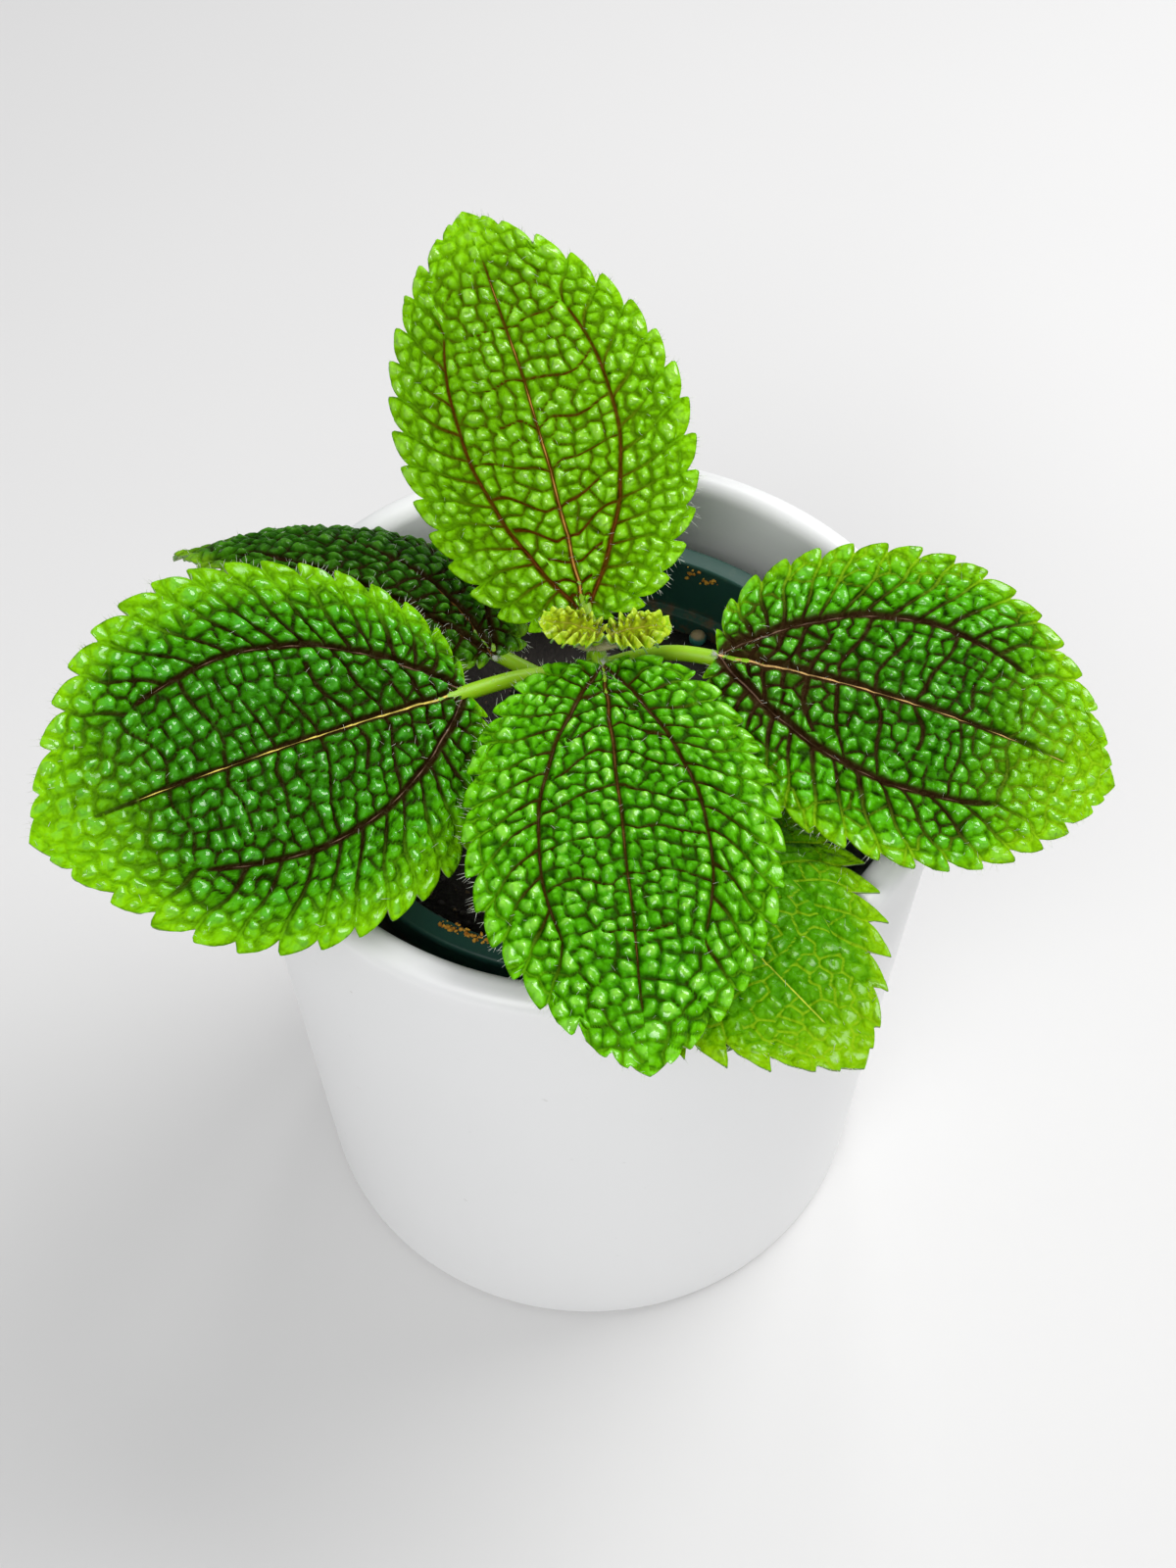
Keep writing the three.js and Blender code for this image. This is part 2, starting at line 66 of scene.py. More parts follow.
class Wire:
    """A shader socket that can be written in sums."""

    def __init__(self, tree, socket):
        self.tree = tree
        self.socket = socket

    def _math(self, operation, *values):
        return node(self.tree, "ShaderNodeMath", {"operation": operation}, dict(enumerate(values)))

    def __add__(self, other):
        return self._math("ADD", self, other)

    def __sub__(self, other):
        return self._math("SUBTRACT", self, other)

    def __mul__(self, other):
        return self._math("MULTIPLY", self, other)

    def __truediv__(self, other):
        return self._math("DIVIDE", self, other)

    def __rsub__(self, other):
        return self._math("SUBTRACT", other, self)

    def __rtruediv__(self, other):
        return self._math("DIVIDE", other, self)

    __radd__ = __add__
    __rmul__ = __mul__

    def max(self, other):
        return self._math("MAXIMUM", self, other)

    def min(self, other):
        return self._math("MINIMUM", self, other)

    def fade(self, start, end):
        """0 below start, 1 above end, smooth between; start may be the larger."""
        inputs = {"Value": self, "From Min": start, "From Max": end}
        return node(self.tree, "ShaderNodeMapRange", {"interpolation_type": "SMOOTHSTEP"}, inputs)


def node(tree, kind, settings=None, inputs=None, output=0):
    """Adds one shader node and returns its output as a Wire."""
    made = tree.nodes.new(kind)
    for name, value in (settings or {}).items():
        setattr(made, name, value)
    for name, value in (inputs or {}).items():
        if isinstance(value, Wire):
            tree.links.new(value.socket, made.inputs[name])
        else:
            made.inputs[name].default_value = value
    return Wire(tree, made.outputs[output])


def colour(red, green, blue):
    """A solid colour from linear light values."""
    return (red, green, blue, 1.0)


def mix(tree, amount, first, second):
    """Blends from the first colour at 0 to the second at 1."""
    made = tree.nodes.new("ShaderNodeMix")
    made.data_type = "RGBA"
    sockets = {"Factor_Float": amount, "A_Color": first, "B_Color": second}
    for socket in made.inputs:
        if socket.identifier in sockets:
            value = sockets[socket.identifier]
            if isinstance(value, Wire):
                tree.links.new(value.socket, socket)
            else:
                socket.default_value = value
    return Wire(tree, next(s for s in made.outputs if s.identifier == "Result_Color"))


def new_material(name):
    """A material with a Principled surface; returns it, its tree and the surface node."""
    material = bpy.data.materials.new(name)
    material.use_nodes = True
    tree = material.node_tree
    return material, tree, tree.nodes["Principled BSDF"]


def object_place(tree):
    """The place on the piece, in metres."""
    return node(tree, "ShaderNodeTexCoord", output="Object")


def noise_at(tree, place, scale, detail=3.0, roughness=0.55):
    """Cloudy noise around 0.5; scale is its cells in a metre."""
    inputs = {"Vector": place, "Scale": scale, "Detail": detail, "Roughness": roughness}
    return node(tree, "ShaderNodeTexNoise", None, inputs)


def bump(tree, surface, height, strength, distance):
    """Roughens the surface by a height of 0 to 1, which stands for the distance in metres."""
    inputs = {"Height": height, "Strength": strength, "Distance": distance}
    made = node(tree, "ShaderNodeBump", None, inputs)
    tree.links.new(made.socket, surface.inputs["Normal"])


def feed(tree, surface, name, wire):
    """Links a value that changes over the piece to a socket of its surface."""
    tree.links.new(wire.socket, surface.inputs[name])


def finish_object(name, shape, materials):
    """Turns a bmesh into a smooth named object of the scene."""
    mesh = bpy.data.meshes.new(name)
    shape.to_mesh(mesh)
    shape.free()
    for material in materials:
        mesh.materials.append(material)
    mesh.shade_smooth()
    made = bpy.data.objects.new(name, mesh)
    scene.collection.objects.link(made)
    return made


floor_material, tree, surface = new_material("floor")
cloudy = noise_at(tree, object_place(tree), 2.0)
feed(tree, surface, "Base Color", mix(tree, cloudy, colour(0.71, 0.705, 0.70), colour(0.77, 0.765, 0.76)))
surface.inputs["Roughness"].default_value = 0.75
shape = bmesh.new()
bmesh.ops.create_grid(shape, x_segments=2, y_segments=2, size=FLOOR_REACH)
floor = finish_object("floor", shape, [floor_material])


def area_light(name, spot, target, size, power):
    """A round soft light, sizes in metres and power in watts."""
    data = bpy.data.lights.new(name, "AREA")
    data.shape = "DISK"
    data.size = size
    data.energy = power
    made = bpy.data.objects.new(name, data)
    made.location = spot
    made.rotation_euler = (Vector(target) - Vector(spot)).to_track_quat("-Z", "Y").to_euler()
    scene.collection.objects.link(made)


area_light("key", (0.62, 0.42, 0.95), (0, 0, 0.1), 0.8, 8.7)
area_light("glint", (0.12, 0.75, 1.0), (0, 0, 0.15), 0.2, 1.0)
area_light("front_fill", (-0.3, -0.9, 1.1), (0, 0, 0.1), 0.8, 8.1)
world = bpy.data.worlds.new("studio")
world.use_nodes = True
world.node_tree.nodes["Background"].inputs["Color"].default_value = (0.97, 0.98, 1.0, 1.0)
world.node_tree.nodes["Background"].inputs["Strength"].default_value = 0.42
scene.world = world


# ---------------------------------------------------------------- outer ceramic pot
# Slip-cast and glazed white: a straight, slightly flared wall, a thick rounded lip, a flat foot.
# Profiles run from the middle of the underside out, up and back to the middle of the floor.
MM = 0.001
POT_PROFILE = [
    (0, 0), (60.5, 0), (62.35, 1.2), (62.4, 3), (64.5, 70), (66.7, 134), (66.6, 137.2), (65, 138.6),
    (62.2, 138.7), (60.3, 137.2), (59.9, 133.6), (57.1, 17), (53.3, 12), (0, 12),
]
POT_CORNER = 2.2
SPIN_STEPS = 160


def spun(name, profile, material):
    """Turns a profile of (radius, height) pairs in mm about the upright axis."""
    shape = bmesh.new()
    points = [shape.verts.new((r * MM, 0, z * MM)) for r, z in profile]
    edges = [shape.edges.new(pair) for pair in zip(points, points[1:])]
    bmesh.ops.spin(
        shape, geom=points + edges, cent=(0, 0, 0), axis=(0, 0, 1),
        angle=math.tau, steps=SPIN_STEPS, use_merge=True, use_duplicate=False,
    )
    bmesh.ops.remove_doubles(shape, verts=shape.verts, dist=1e-6)
    bmesh.ops.recalc_face_normals(shape, faces=shape.faces)
    return finish_object(name, shape, [material])


def rounded(profile, radius, steps=5):
    """Rounds each corner of a profile by up to the given radius in mm."""
    result = [profile[0]]
    for before, corner, after in zip(profile, profile[1:], profile[2:]):
        corner = np.array(corner, float)
        into = np.array(before) - corner
        out = np.array(after) - corner
        reach = min(radius, np.linalg.norm(into) * 0.45, np.linalg.norm(out) * 0.45)
        start = corner + into / np.linalg.norm(into) * reach
        end = corner + out / np.linalg.norm(out) * reach
        for share in np.linspace(0, 1, steps):
            towards_corner = 2 * share * (1 - share) * corner
            result.append(tuple((1 - share) ** 2 * start + towards_corner + share ** 2 * end))
    result.append(profile[-1])
    return result


glaze, tree, surface = new_material("white_glaze")
place = object_place(tree)
drift = noise_at(tree, place, 9.0)
specks = noise_at(tree, place, 420.0, 2.0).fade(0.73, 0.80)
body = mix(tree, drift, colour(0.86, 0.865, 0.865), colour(0.91, 0.912, 0.910))
feed(tree, surface, "Base Color", mix(tree, specks * 0.35, body, colour(0.45, 0.43, 0.40)))
feed(tree, surface, "Roughness", drift * 0.16 + 0.26)
bump(tree, surface, noise_at(tree, place, 38.0, 1.5), 0.12, 0.0006)

pot = spun("ceramic_pot", rounded(POT_PROFILE, POT_CORNER), glaze)
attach(pot, "root")
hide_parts("cachepot")

# ---------------------------------------------------------------- grower's pot
# Thin moulded plastic, dark blue-green: a flat rim ledge, a collar, and a step where the wall
# narrows. It stands loose in the outer pot. Dust clings to it, and dried soil to the step.
NURSERY_PROFILE = [
    (0, 12.3), (38, 12.3), (39, 13.4), (48.2, 113.4), (50.1, 114.4), (50.3, 126.4), (52.9, 126.6),
    (53, 128.1), (52.6, 128.5), (48.8, 128.5), (48.5, 128.1), (48.5, 115), (46.7, 114.4),
    (37.4, 13.9), (0, 13.9),
]
NURSERY_CORNER = 0.35

plastic, tree, surface = new_material("green_plastic")
place = object_place(tree)
cloud = noise_at(tree, place, 60.0, 4.0)
height = node(tree, "ShaderNodeSeparateXYZ", None, {"Vector": place}, output=2)
dusty = noise_at(tree, place, 260.0, 5.0, 0.7)
step_dirt = height.fade(0.1165, 0.1150) * dusty.fade(0.42, 0.62)
paint = mix(tree, cloud, colour(0.012, 0.060, 0.046), colour(0.022, 0.095, 0.072))
paint = mix(tree, dusty.fade(0.60, 0.78) * 0.35, paint, colour(0.12, 0.16, 0.12))
feed(tree, surface, "Base Color", mix(tree, step_dirt * 0.85, paint, colour(0.14, 0.075, 0.035)))
feed(tree, surface, "Roughness", cloud * 0.25 + 0.28)
bump(tree, surface, dusty, 0.15, 0.0004)

nursery = spun("plastic_pot", rounded(NURSERY_PROFILE, NURSERY_CORNER, 4), plastic)
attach(nursery, "root")
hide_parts("nursery_pot")

# ---------------------------------------------------------------- soil
# Dark peat mix with fibres, bark crumbs and pale flecks. It fills the grower's pot to below its
# step, and its surface is uneven.
SOIL_LEVEL = 111.5
SOIL_FOOT = 14.3
SOIL_RADIUS = 46.0
FOOT_SHARE = 0.83
RING_STEP = 0.8
CRUMB_REACH = 45.2
CRUMB_COUNT = 620


def soil_height(x, y):
    """Height of the soil surface in mm, the same broad lumps as the solid's."""
    broad = math.sin(x * 0.21 + 1.3) * math.cos(y * 0.17 - 0.4)
    return SOIL_LEVEL + 0.96 * (broad + 0.6 * math.sin(x * 0.43 - y * 0.37))


peat, tree, surface = new_material("peat")
place = object_place(tree)
grain = noise_at(tree, place, 300.0, 6.0, 0.7)
fleck = noise_at(tree, place, 700.0, 2.0)
tone = mix(tree, grain, colour(0.004, 0.003, 0.003), colour(0.030, 0.020, 0.013))
tone = mix(tree, fleck.fade(0.66, 0.74) * 0.7, tone, colour(0.16, 0.10, 0.04))
feed(tree, surface, "Base Color", tone)
feed(tree, surface, "Roughness", grain * 0.4 + 0.55)
bump(tree, surface, grain + fleck * 0.4, 0.9, 0.0012)

bark, tree, surface = new_material("bark_crumb")
place = object_place(tree)
grain = noise_at(tree, place, 500.0, 5.0, 0.7)
bark_tone = mix(tree, grain.fade(0.3, 0.7), colour(0.02, 0.012, 0.008), colour(0.20, 0.13, 0.06))
feed(tree, surface, "Base Color", bark_tone)
surface.inputs["Roughness"].default_value = 0.9
bump(tree, surface, grain, 0.8, 0.0006)

pale, tree, surface = new_material("pale_fleck")
place = object_place(tree)
grain = noise_at(tree, place, 800.0, 3.0)
feed(tree, surface, "Base Color", mix(tree, grain, colour(0.22, 0.20, 0.12), colour(0.5, 0.46, 0.32)))
surface.inputs["Roughness"].default_value = 0.85
bump(tree, surface, grain, 0.5, 0.0004)


def paint(points, slot):
    """Gives the faces round the points one of their piece's materials."""
    for face in {face for point in points for face in point.link_faces}:
        face.material_index = slot


def scatter_crumb(shape, spot, size, stretch, turn, slot, dice):
    """Adds one rough crumb, spot and size in mm."""
    made = bmesh.ops.create_icosphere(shape, subdivisions=1, radius=size * MM)
    shift = Vector((dice.random() * 50, dice.random() * 50, dice.random() * 50))
    for vert in made["verts"]:
        vert.co *= 0.75 + 0.5 * noise.noise(vert.co / (size * MM) * 0.9 + shift)
        vert.co.x *= stretch
    spin = Matrix.Rotation(turn, 3, "Z") @ Matrix.Rotation(dice.uniform(-0.7, 0.7), 3, "Y")
    bmesh.ops.rotate(shape, verts=made["verts"], matrix=spin)
    bmesh.ops.translate(shape, verts=made["verts"], vec=Vector(spot) * MM)
    paint(made["verts"], slot)


shape = bmesh.new()
bmesh.ops.create_circle(shape, cap_ends=True, cap_tris=False, segments=72, radius=SOIL_RADIUS * MM)
middle = list(shape.faces)
for _ in np.arange(RING_STEP, SOIL_RADIUS, RING_STEP):
    bmesh.ops.inset_region(shape, faces=middle, thickness=RING_STEP * MM, use_even_offset=True)
for vert in shape.verts:
    x, y = vert.co.x / MM, vert.co.y / MM
    rough = noise.noise(Vector((x, y, 3)) * 0.45) * 0.9 + noise.noise(Vector((x, y, 9)) * 1.3) * 0.5
    vert.co.z = (soil_height(x, y) + rough) * MM
side = bmesh.ops.extrude_edge_only(shape, edges=[edge for edge in shape.edges if edge.is_boundary])
low = [item for item in side["geom"] if isinstance(item, bmesh.types.BMVert)]
for vert in low:
    vert.co = Vector((vert.co.x * FOOT_SHARE, vert.co.y * FOOT_SHARE, SOIL_FOOT * MM))
bmesh.ops.contextual_create(shape, geom=low)
dice = random.Random(5)
for _ in range(CRUMB_COUNT):
    angle = dice.uniform(0, math.tau)
    radius = CRUMB_REACH * math.sqrt(dice.random())
    x, y = radius * math.cos(angle), radius * math.sin(angle)
    size = dice.choice((0.35, 0.5, 0.6, 0.8, 1.1))
    kind = dice.choices((0, 1, 2), (60, 32, 5))[0]
    stretch = dice.choice((1, 1.3, 2.4)) if kind < 2 else 1
    spot = (x, y, soil_height(x, y) + size * 0.3)
    scatter_crumb(shape, spot, size, stretch, dice.uniform(0, math.tau), kind, dice)
bmesh.ops.recalc_face_normals(shape, faces=shape.faces)
soil = finish_object("soil_mix", shape, [peat, bark, pale])
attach(soil, "root")
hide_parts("soil")

# ---------------------------------------------------------------- crumbs on the rim
# Dried yellow crumbs of the mix, stuck in three groups to the grower's pot: on its ledge at the
# front, down the inside of its collar at the back, and a few more on the ledge at the right.
# Each group: its two bounds in degrees, radius and lowest and highest place in mm, and count.
RIM_CRUMBS = [
    (238, 251, 49.5, 128.4, 128.8, 60),
    (57, 66, 48.3, 124.5, 128.2, 22),
    (300, 318, 51.0, 128.5, 128.7, 6),
]
crumb_material, tree, surface = new_material("yellow_crumb")
place = object_place(tree)
ochre = noise_at(tree, place, 900.0).fade(0.35, 0.65)
feed(tree, surface, "Base Color", mix(tree, ochre, colour(0.45, 0.17, 0.012), colour(0.85, 0.47, 0.05)))
surface.inputs["Roughness"].default_value = 0.85
bump(tree, surface, noise_at(tree, place, 1600.0), 0.5, 0.0003)

shape = bmesh.new()
dice = random.Random(6)
for angle_from, angle_to, radius, low, high, count in RIM_CRUMBS:
    for _ in range(count):
        angle = math.radians(dice.uniform(angle_from, angle_to))
        out = radius + dice.uniform(-0.9, 0.9) * (high - low < 1)
        spot = (out * math.cos(angle), out * math.sin(angle), dice.uniform(low, high))
        size = dice.choice((0.2, 0.3, 0.4, 0.55))
        scatter_crumb(shape, spot, size, 1.3, dice.uniform(0, math.tau), 0, dice)
crumbs = finish_object("ledge_crumbs", shape, [crumb_material])
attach(crumbs, "root")

# ---------------------------------------------------------------- stalks and stem
# Round, juicy and pale green, a little translucent, flushed brown in places, and hairy.
# The stem carries every stalk and ends in the growing tip, between two small papery scales.
STEM_KNOTS = [
    (-1.5, 14, 97), (-0.6, 11.4, 112), (0.2, 8.2, 128), (0.8, 3.6, 142), (1, 0.4, 152), (1, -1.8, 158),
]
STEM_RINGS = 34
STEM_RADIUS = 2.3
STEM_HAIRS = 110

green_skin, tree, surface = new_material("stalk_skin")
place = object_place(tree)
streak = noise_at(tree, place, 140.0, 3.0)
flush = noise_at(tree, place, 55.0, 3.0).fade(0.52, 0.72)
skin = mix(tree, streak, colour(0.22, 0.47, 0.002), colour(0.38, 0.70, 0.008))
feed(tree, surface, "Base Color", mix(tree, flush * 0.25, skin, colour(0.20, 0.14, 0.02)))
feed(tree, surface, "Roughness", streak * 0.2 + 0.33)
surface.inputs["Subsurface Weight"].default_value = 0.15
surface.inputs["Subsurface Scale"].default_value = 0.002
bump(tree, surface, streak, 0.35, 0.0003)

hair_material, tree, surface = new_material("plant_hair")
place = object_place(tree)
hair_tone = mix(tree, noise_at(tree, place, 300.0), colour(0.70, 0.76, 0.60), colour(0.92, 0.94, 0.88))
feed(tree, surface, "Base Color", hair_tone)
surface.inputs["Roughness"].default_value = 0.35


def smooth_path(knots, count):
    """Points spaced evenly along a smooth curve through the knots."""
    knots = [np.array(knot, float) for knot in knots]
    ends = [2 * knots[0] - knots[1], *knots, 2 * knots[-1] - knots[-2]]
    dense = []
    for a, b, c, d in zip(ends, ends[1:], ends[2:], ends[3:]):
        for u in np.linspace(0, 1, 24, endpoint=False):
            dense.append(0.5 * (2 * b + (c - a) * u + (2 * a - 5 * b + 4 * c - d) * u ** 2
                                + (3 * b - a - 3 * c + d) * u ** 3))
    dense = np.array([*dense, knots[-1]])
    reach = np.concatenate([[0], np.cumsum(np.linalg.norm(np.diff(dense, axis=0), axis=1))])
    wanted = np.linspace(0, reach[-1], count)
    return np.stack([np.interp(wanted, reach, dense[:, axis]) for axis in range(3)], axis=1)


def add_rod(shape, path, radii, sides, slot):
    """Adds a closed round rod along a path, sizes in mm."""
    centres = [Vector(point) * MM for point in path]
    ring = bmesh.ops.create_circle(shape, cap_ends=False, segments=sides, radius=1)["verts"]
    flat = [vert.co.copy() for vert in ring]
    edges = list({edge for vert in ring for edge in vert.link_edges})
    made_faces = []
    facing = (centres[1] - centres[0]).to_track_quat("Z", "Y")
    rings = []
    for i, centre in enumerate(centres):
        if i:
            made = bmesh.ops.extrude_edge_only(shape, edges=edges)["geom"]
            fresh = {item for item in made if isinstance(item, bmesh.types.BMVert)}
            edges = [item for item in made if isinstance(item, bmesh.types.BMEdge)
                     and all(vert in fresh for vert in item.verts)]
            made_faces += [item for item in made if isinstance(item, bmesh.types.BMFace)]
            ring = sorted_like(fresh, ring)
        rings.append(ring)
        ahead = centres[min(i + 1, len(centres) - 1)] - centres[max(i - 1, 0)]
        facing = (facing @ Vector((0, 0, 1))).rotation_difference(ahead) @ facing
        for vert, start in zip(ring, flat):
            vert.co = centre + facing @ (start * radii[i] * MM)
    for cap in (rings[0], rings[-1]):
        made_faces += bmesh.ops.contextual_create(shape, geom=cap)["faces"]
    bmesh.ops.recalc_face_normals(shape, faces=made_faces)
    for face in made_faces:
        face.material_index = slot


def sorted_like(fresh, previous):
    """Puts an extruded ring's points in the order of the ring that they came from."""
    return [next(edge.other_vert(vert) for edge in vert.link_edges if edge.other_vert(vert) in fresh)
            for vert in previous]


def add_hair(shape, root, direction, length, slot):
    """Adds one fine tapered hair, root in mm and length in mm."""
    made = bmesh.ops.create_cone(
        shape, cap_ends=True, segments=3, radius1=0.045 * MM, radius2=0.008 * MM, depth=length * MM)
    facing = Vector(direction).normalized().to_track_quat("Z", "Y").to_matrix()
    for vert in made["verts"]:
        vert.co.z += length * MM / 2
    bmesh.ops.rotate(shape, verts=made["verts"], matrix=facing)
    bmesh.ops.translate(shape, verts=made["verts"], vec=Vector(root) * MM)
    paint(made["verts"], slot)


def hairy_rod(shape, path, radii, count, slot, hair_slot, dice):
    """Adds a rod with hairs that stand out all round it."""
    add_rod(shape, path, radii, 12, slot)
    for _ in range(count):
        at = dice.uniform(0.5, len(path) - 1.5)
        i = int(at)
        mixed = at - i
        centre = path[i] * (1 - mixed) + path[i + 1] * mixed
        along = path[i + 1] - path[i]
        along = along / np.linalg.norm(along)
        out = np.array([dice.gauss(0, 1) for _ in range(3)])
        out -= along * out.dot(along)
        out /= np.linalg.norm(out)
        radius = radii[i] * (1 - mixed) + radii[i + 1] * mixed
        lean = along * dice.uniform(-0.3, 0.5)
        add_hair(shape, centre + out * radius * 0.9, out + lean, dice.uniform(0.6, 1.3), hair_slot)


shape = bmesh.new()
dice = random.Random(8)
path = smooth_path(STEM_KNOTS, STEM_RINGS)
radii = STEM_RADIUS * np.linspace(1, 0.65, STEM_RINGS)
for joint_height, swelling in ((127.5, 0.22), (142, 0.2)):
    radii += swelling * np.exp(-((path[:, 2] - joint_height) / 2) ** 2)
hairy_rod(shape, path, radii, STEM_HAIRS, 0, 1, dice)
for side in (-1, 1):
    scale = bmesh.ops.create_uvsphere(shape, u_segments=20, v_segments=12, radius=1)["verts"]
    for vert in scale:
        ripple = 0.14 * math.sin(vert.co.x * 6 + vert.co.y * 4)
        vert.co = Vector((vert.co.x * 3.3, vert.co.y * 1.5, (vert.co.z * 0.75 + ripple) * 0.9)) * MM
    bmesh.ops.rotate(shape, verts=scale, matrix=Matrix.Rotation(side * -0.45, 3, "Y"))
    bmesh.ops.translate(shape, verts=scale, vec=Vector((1 + side * 2.6, -2.7, 157.2)) * MM)
    paint(scale, 2)
    for vert in scale[::4]:
        out = vert.co / MM - Vector((1, -2, 156.4))
        add_hair(shape, vert.co / MM, out, dice.uniform(0.4, 0.9), 1)

papery, tree, surface = new_material("papery_scale")
place = object_place(tree)
veined = noise_at(tree, place, 420.0, 4.0)
feed(tree, surface, "Base Color", mix(tree, veined, colour(0.16, 0.15, 0.05), colour(0.42, 0.40, 0.20)))
feed(tree, surface, "Roughness", veined * 0.3 + 0.5)
bump(tree, surface, veined, 0.5, 0.0004)
stem = finish_object("main_stem", shape, [green_skin, hair_material, papery])
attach(stem, "root")
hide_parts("stem")

# ---------------------------------------------------------------- leaf blades
# An oval blade with three main veins and a net of smaller ones. The skin between the veins
# swells into glossy blisters, and the margin is cut into broad teeth that point forward. Below,
# a share runs from a blade's base to its tip, and a column from its midrib to its margin.
GROWN_LENGTH = 78
TOOTH_DEPTH = 2.8
TOOTH_DEEPEST = 0.45
TOOTH_PHASE = [0, 0.08, 0.2, 0.4, 0.64, 0.82, 0.92, 1]
TOOTH_CUT = [1, 0.66, 0.36, 0.14, 0.02, 0, 0.3, 1]
BLISTER_RISE = 1.25
ROW_ROOM = 0.66
SPARE_ROOM = 0.84
SPARE_SEEDS = 2600
KIN_GAP = 0.05
APART = 9  # mm added to a distance that is not to count
NEAREST_SEEDS = 6
STEPS_IN_A_ROW = 14
MIDDLE_REACH = 6
STALK_RADIUS = 1.45
FRINGE_FROM = 0.985


def smooth(value, start, end):
    """0 at the start, 1 at the end, smooth between."""
    share = np.clip((value - start) / (end - start), 0, 1)
    return share * share * (3 - 2 * share)


def bezier(a, b, c, d, u):
    """A point of a curve with two ends and two handles."""
    v = 1 - u
    return v ** 3 * a + 3 * v ** 2 * u * b + 3 * v * u ** 2 * c + u ** 3 * d


def half_outline(leaf):
    """Half of a blade's outline, evenly spaced, in shares of its length and width."""
    u = np.linspace(0, 1, 121)
    wide, tip = leaf["widest"], leaf["tip"]
    x = np.concatenate([bezier(0, -0.1, wide - 0.34, wide, u), bezier(wide, wide + 0.3, 0.94, 1, u)])
    y = np.concatenate([bezier(0, 0.2, 0.5, 0.5, u), bezier(0.5, 0.5, tip, 0, u)])
    reach = np.concatenate([[0], np.cumsum(np.hypot(np.diff(x), np.diff(y) * 0.77))])
    return reach / reach[-1], x, y


def side_vein(share):
    """The arched side vein, in shares of length and width."""
    u = share - 0.1 * np.sin(np.pi * share)
    return bezier(0, 0.26, 0.58, 1, u), bezier(0, 0.27, 0.42, 0, u)


def plan(leaf, share, column, inset=0.0):
    """Flat places in mm; a column of 0.5 is the side vein, and an inset draws in what is past it."""
    vein_x, vein_y = side_vein(share)
    reach, xs, ys = leaf["outline"]
    edge_x, edge_y = np.interp(share, reach, xs), np.interp(share, reach, ys)
    inner = np.clip(column / 0.5, 0, 1)
    outer = np.clip((column - 0.5) / 0.5, 0, 1) * (1 - inset)
    foot = vein_x - 0.05 * np.sin(np.pi * share)
    x = foot + (vein_x - foot) * inner + (edge_x - vein_x) * outer
    y = vein_y * inner + (edge_y - vein_y) * outer
    return np.stack([x * leaf["length"], y * leaf["width"]], axis=-1)


def tooth_inset(leaf, share, column):
    """How far the margin draws back between the teeth, as a share of the outer half's width."""
    gap = np.linalg.norm(plan(leaf, share, 1.0) - plan(leaf, share, 0.5), axis=-1)
    depth_mm = TOOTH_DEPTH * leaf["tooth"] * leaf["length"] / GROWN_LENGTH
    deepest = np.minimum(TOOTH_DEEPEST, depth_mm / np.maximum(gap, 0.1))
    level = share * leaf["rows"]
    last = leaf["rows"] - 1
    small_tooth, tip_lobe = (level - last) / 0.5, 1 - (level - last - 0.5) / 0.5
    end_phase = np.where(small_tooth < 1, small_tooth, 0.35 * (1 - tip_lobe))
    phase = np.where(level < last, level % 1, end_phase)
    depth = np.where(level < last, 0.85 + 0.15 * np.sin(level.astype(int) * 2.4 + leaf["seed"]), 0.6)
    cut = np.interp(phase, TOOTH_PHASE, TOOTH_CUT)
    cut = cut * (1 - leaf["sharp"]) + np.interp(phase, [0, 0.86, 1], [1, 0, 1]) * leaf["sharp"]
    return deepest * depth * cut * smooth(column, 0.7, 1)


def spacing(leaf, share, column):
    """Mm, square to the veins, that one unit of share and one unit of column cover."""
    step = 0.004
    low, high = np.where(column < 0.5, 0, 0.5), np.where(column < 0.5, 0.5, 1)
    left, right = np.maximum(column - step, low), np.minimum(column + step, high)
    back, front = np.maximum(share - step, 0), np.minimum(share + step, 1)
    across = (plan(leaf, share, right) - plan(leaf, share, left)) / (right - left)[..., None]
    along = (plan(leaf, front, column) - plan(leaf, back, column)) / (front - back)[..., None]
    area = np.abs(along[..., 0] * across[..., 1] - along[..., 1] * across[..., 0])
    return (area / np.maximum(np.linalg.norm(across, axis=-1), 0.1),
            area / np.maximum(np.linalg.norm(along, axis=-1), 0.1))


def wander(share, column, phases):
    """A slow sideways drift of the cross veins, gone at the margin."""
    a, b, c = phases
    drift = (0.13 * np.sin(13 * share + 5 * column + a) + 0.08 * np.sin(14 * column - 8 * share + b)
             + 0.05 * np.sin(47 * share + c))
    return drift * (1 - smooth(column, 0.72, 0.95)) * smooth(column, 0, 0.12)


def clear_of(spot, seeds, room):
    """Whether a place is at least the given room away from every seed."""
    return all(math.dist(spot, other[0]) > room for other in seeds)


def band_count(leaf, outer):
    """How many bands the cross veins part one half into, outside or inside the side vein."""
    return leaf["rows"] if outer else round(leaf["rows"] * leaf["inner_bands"])


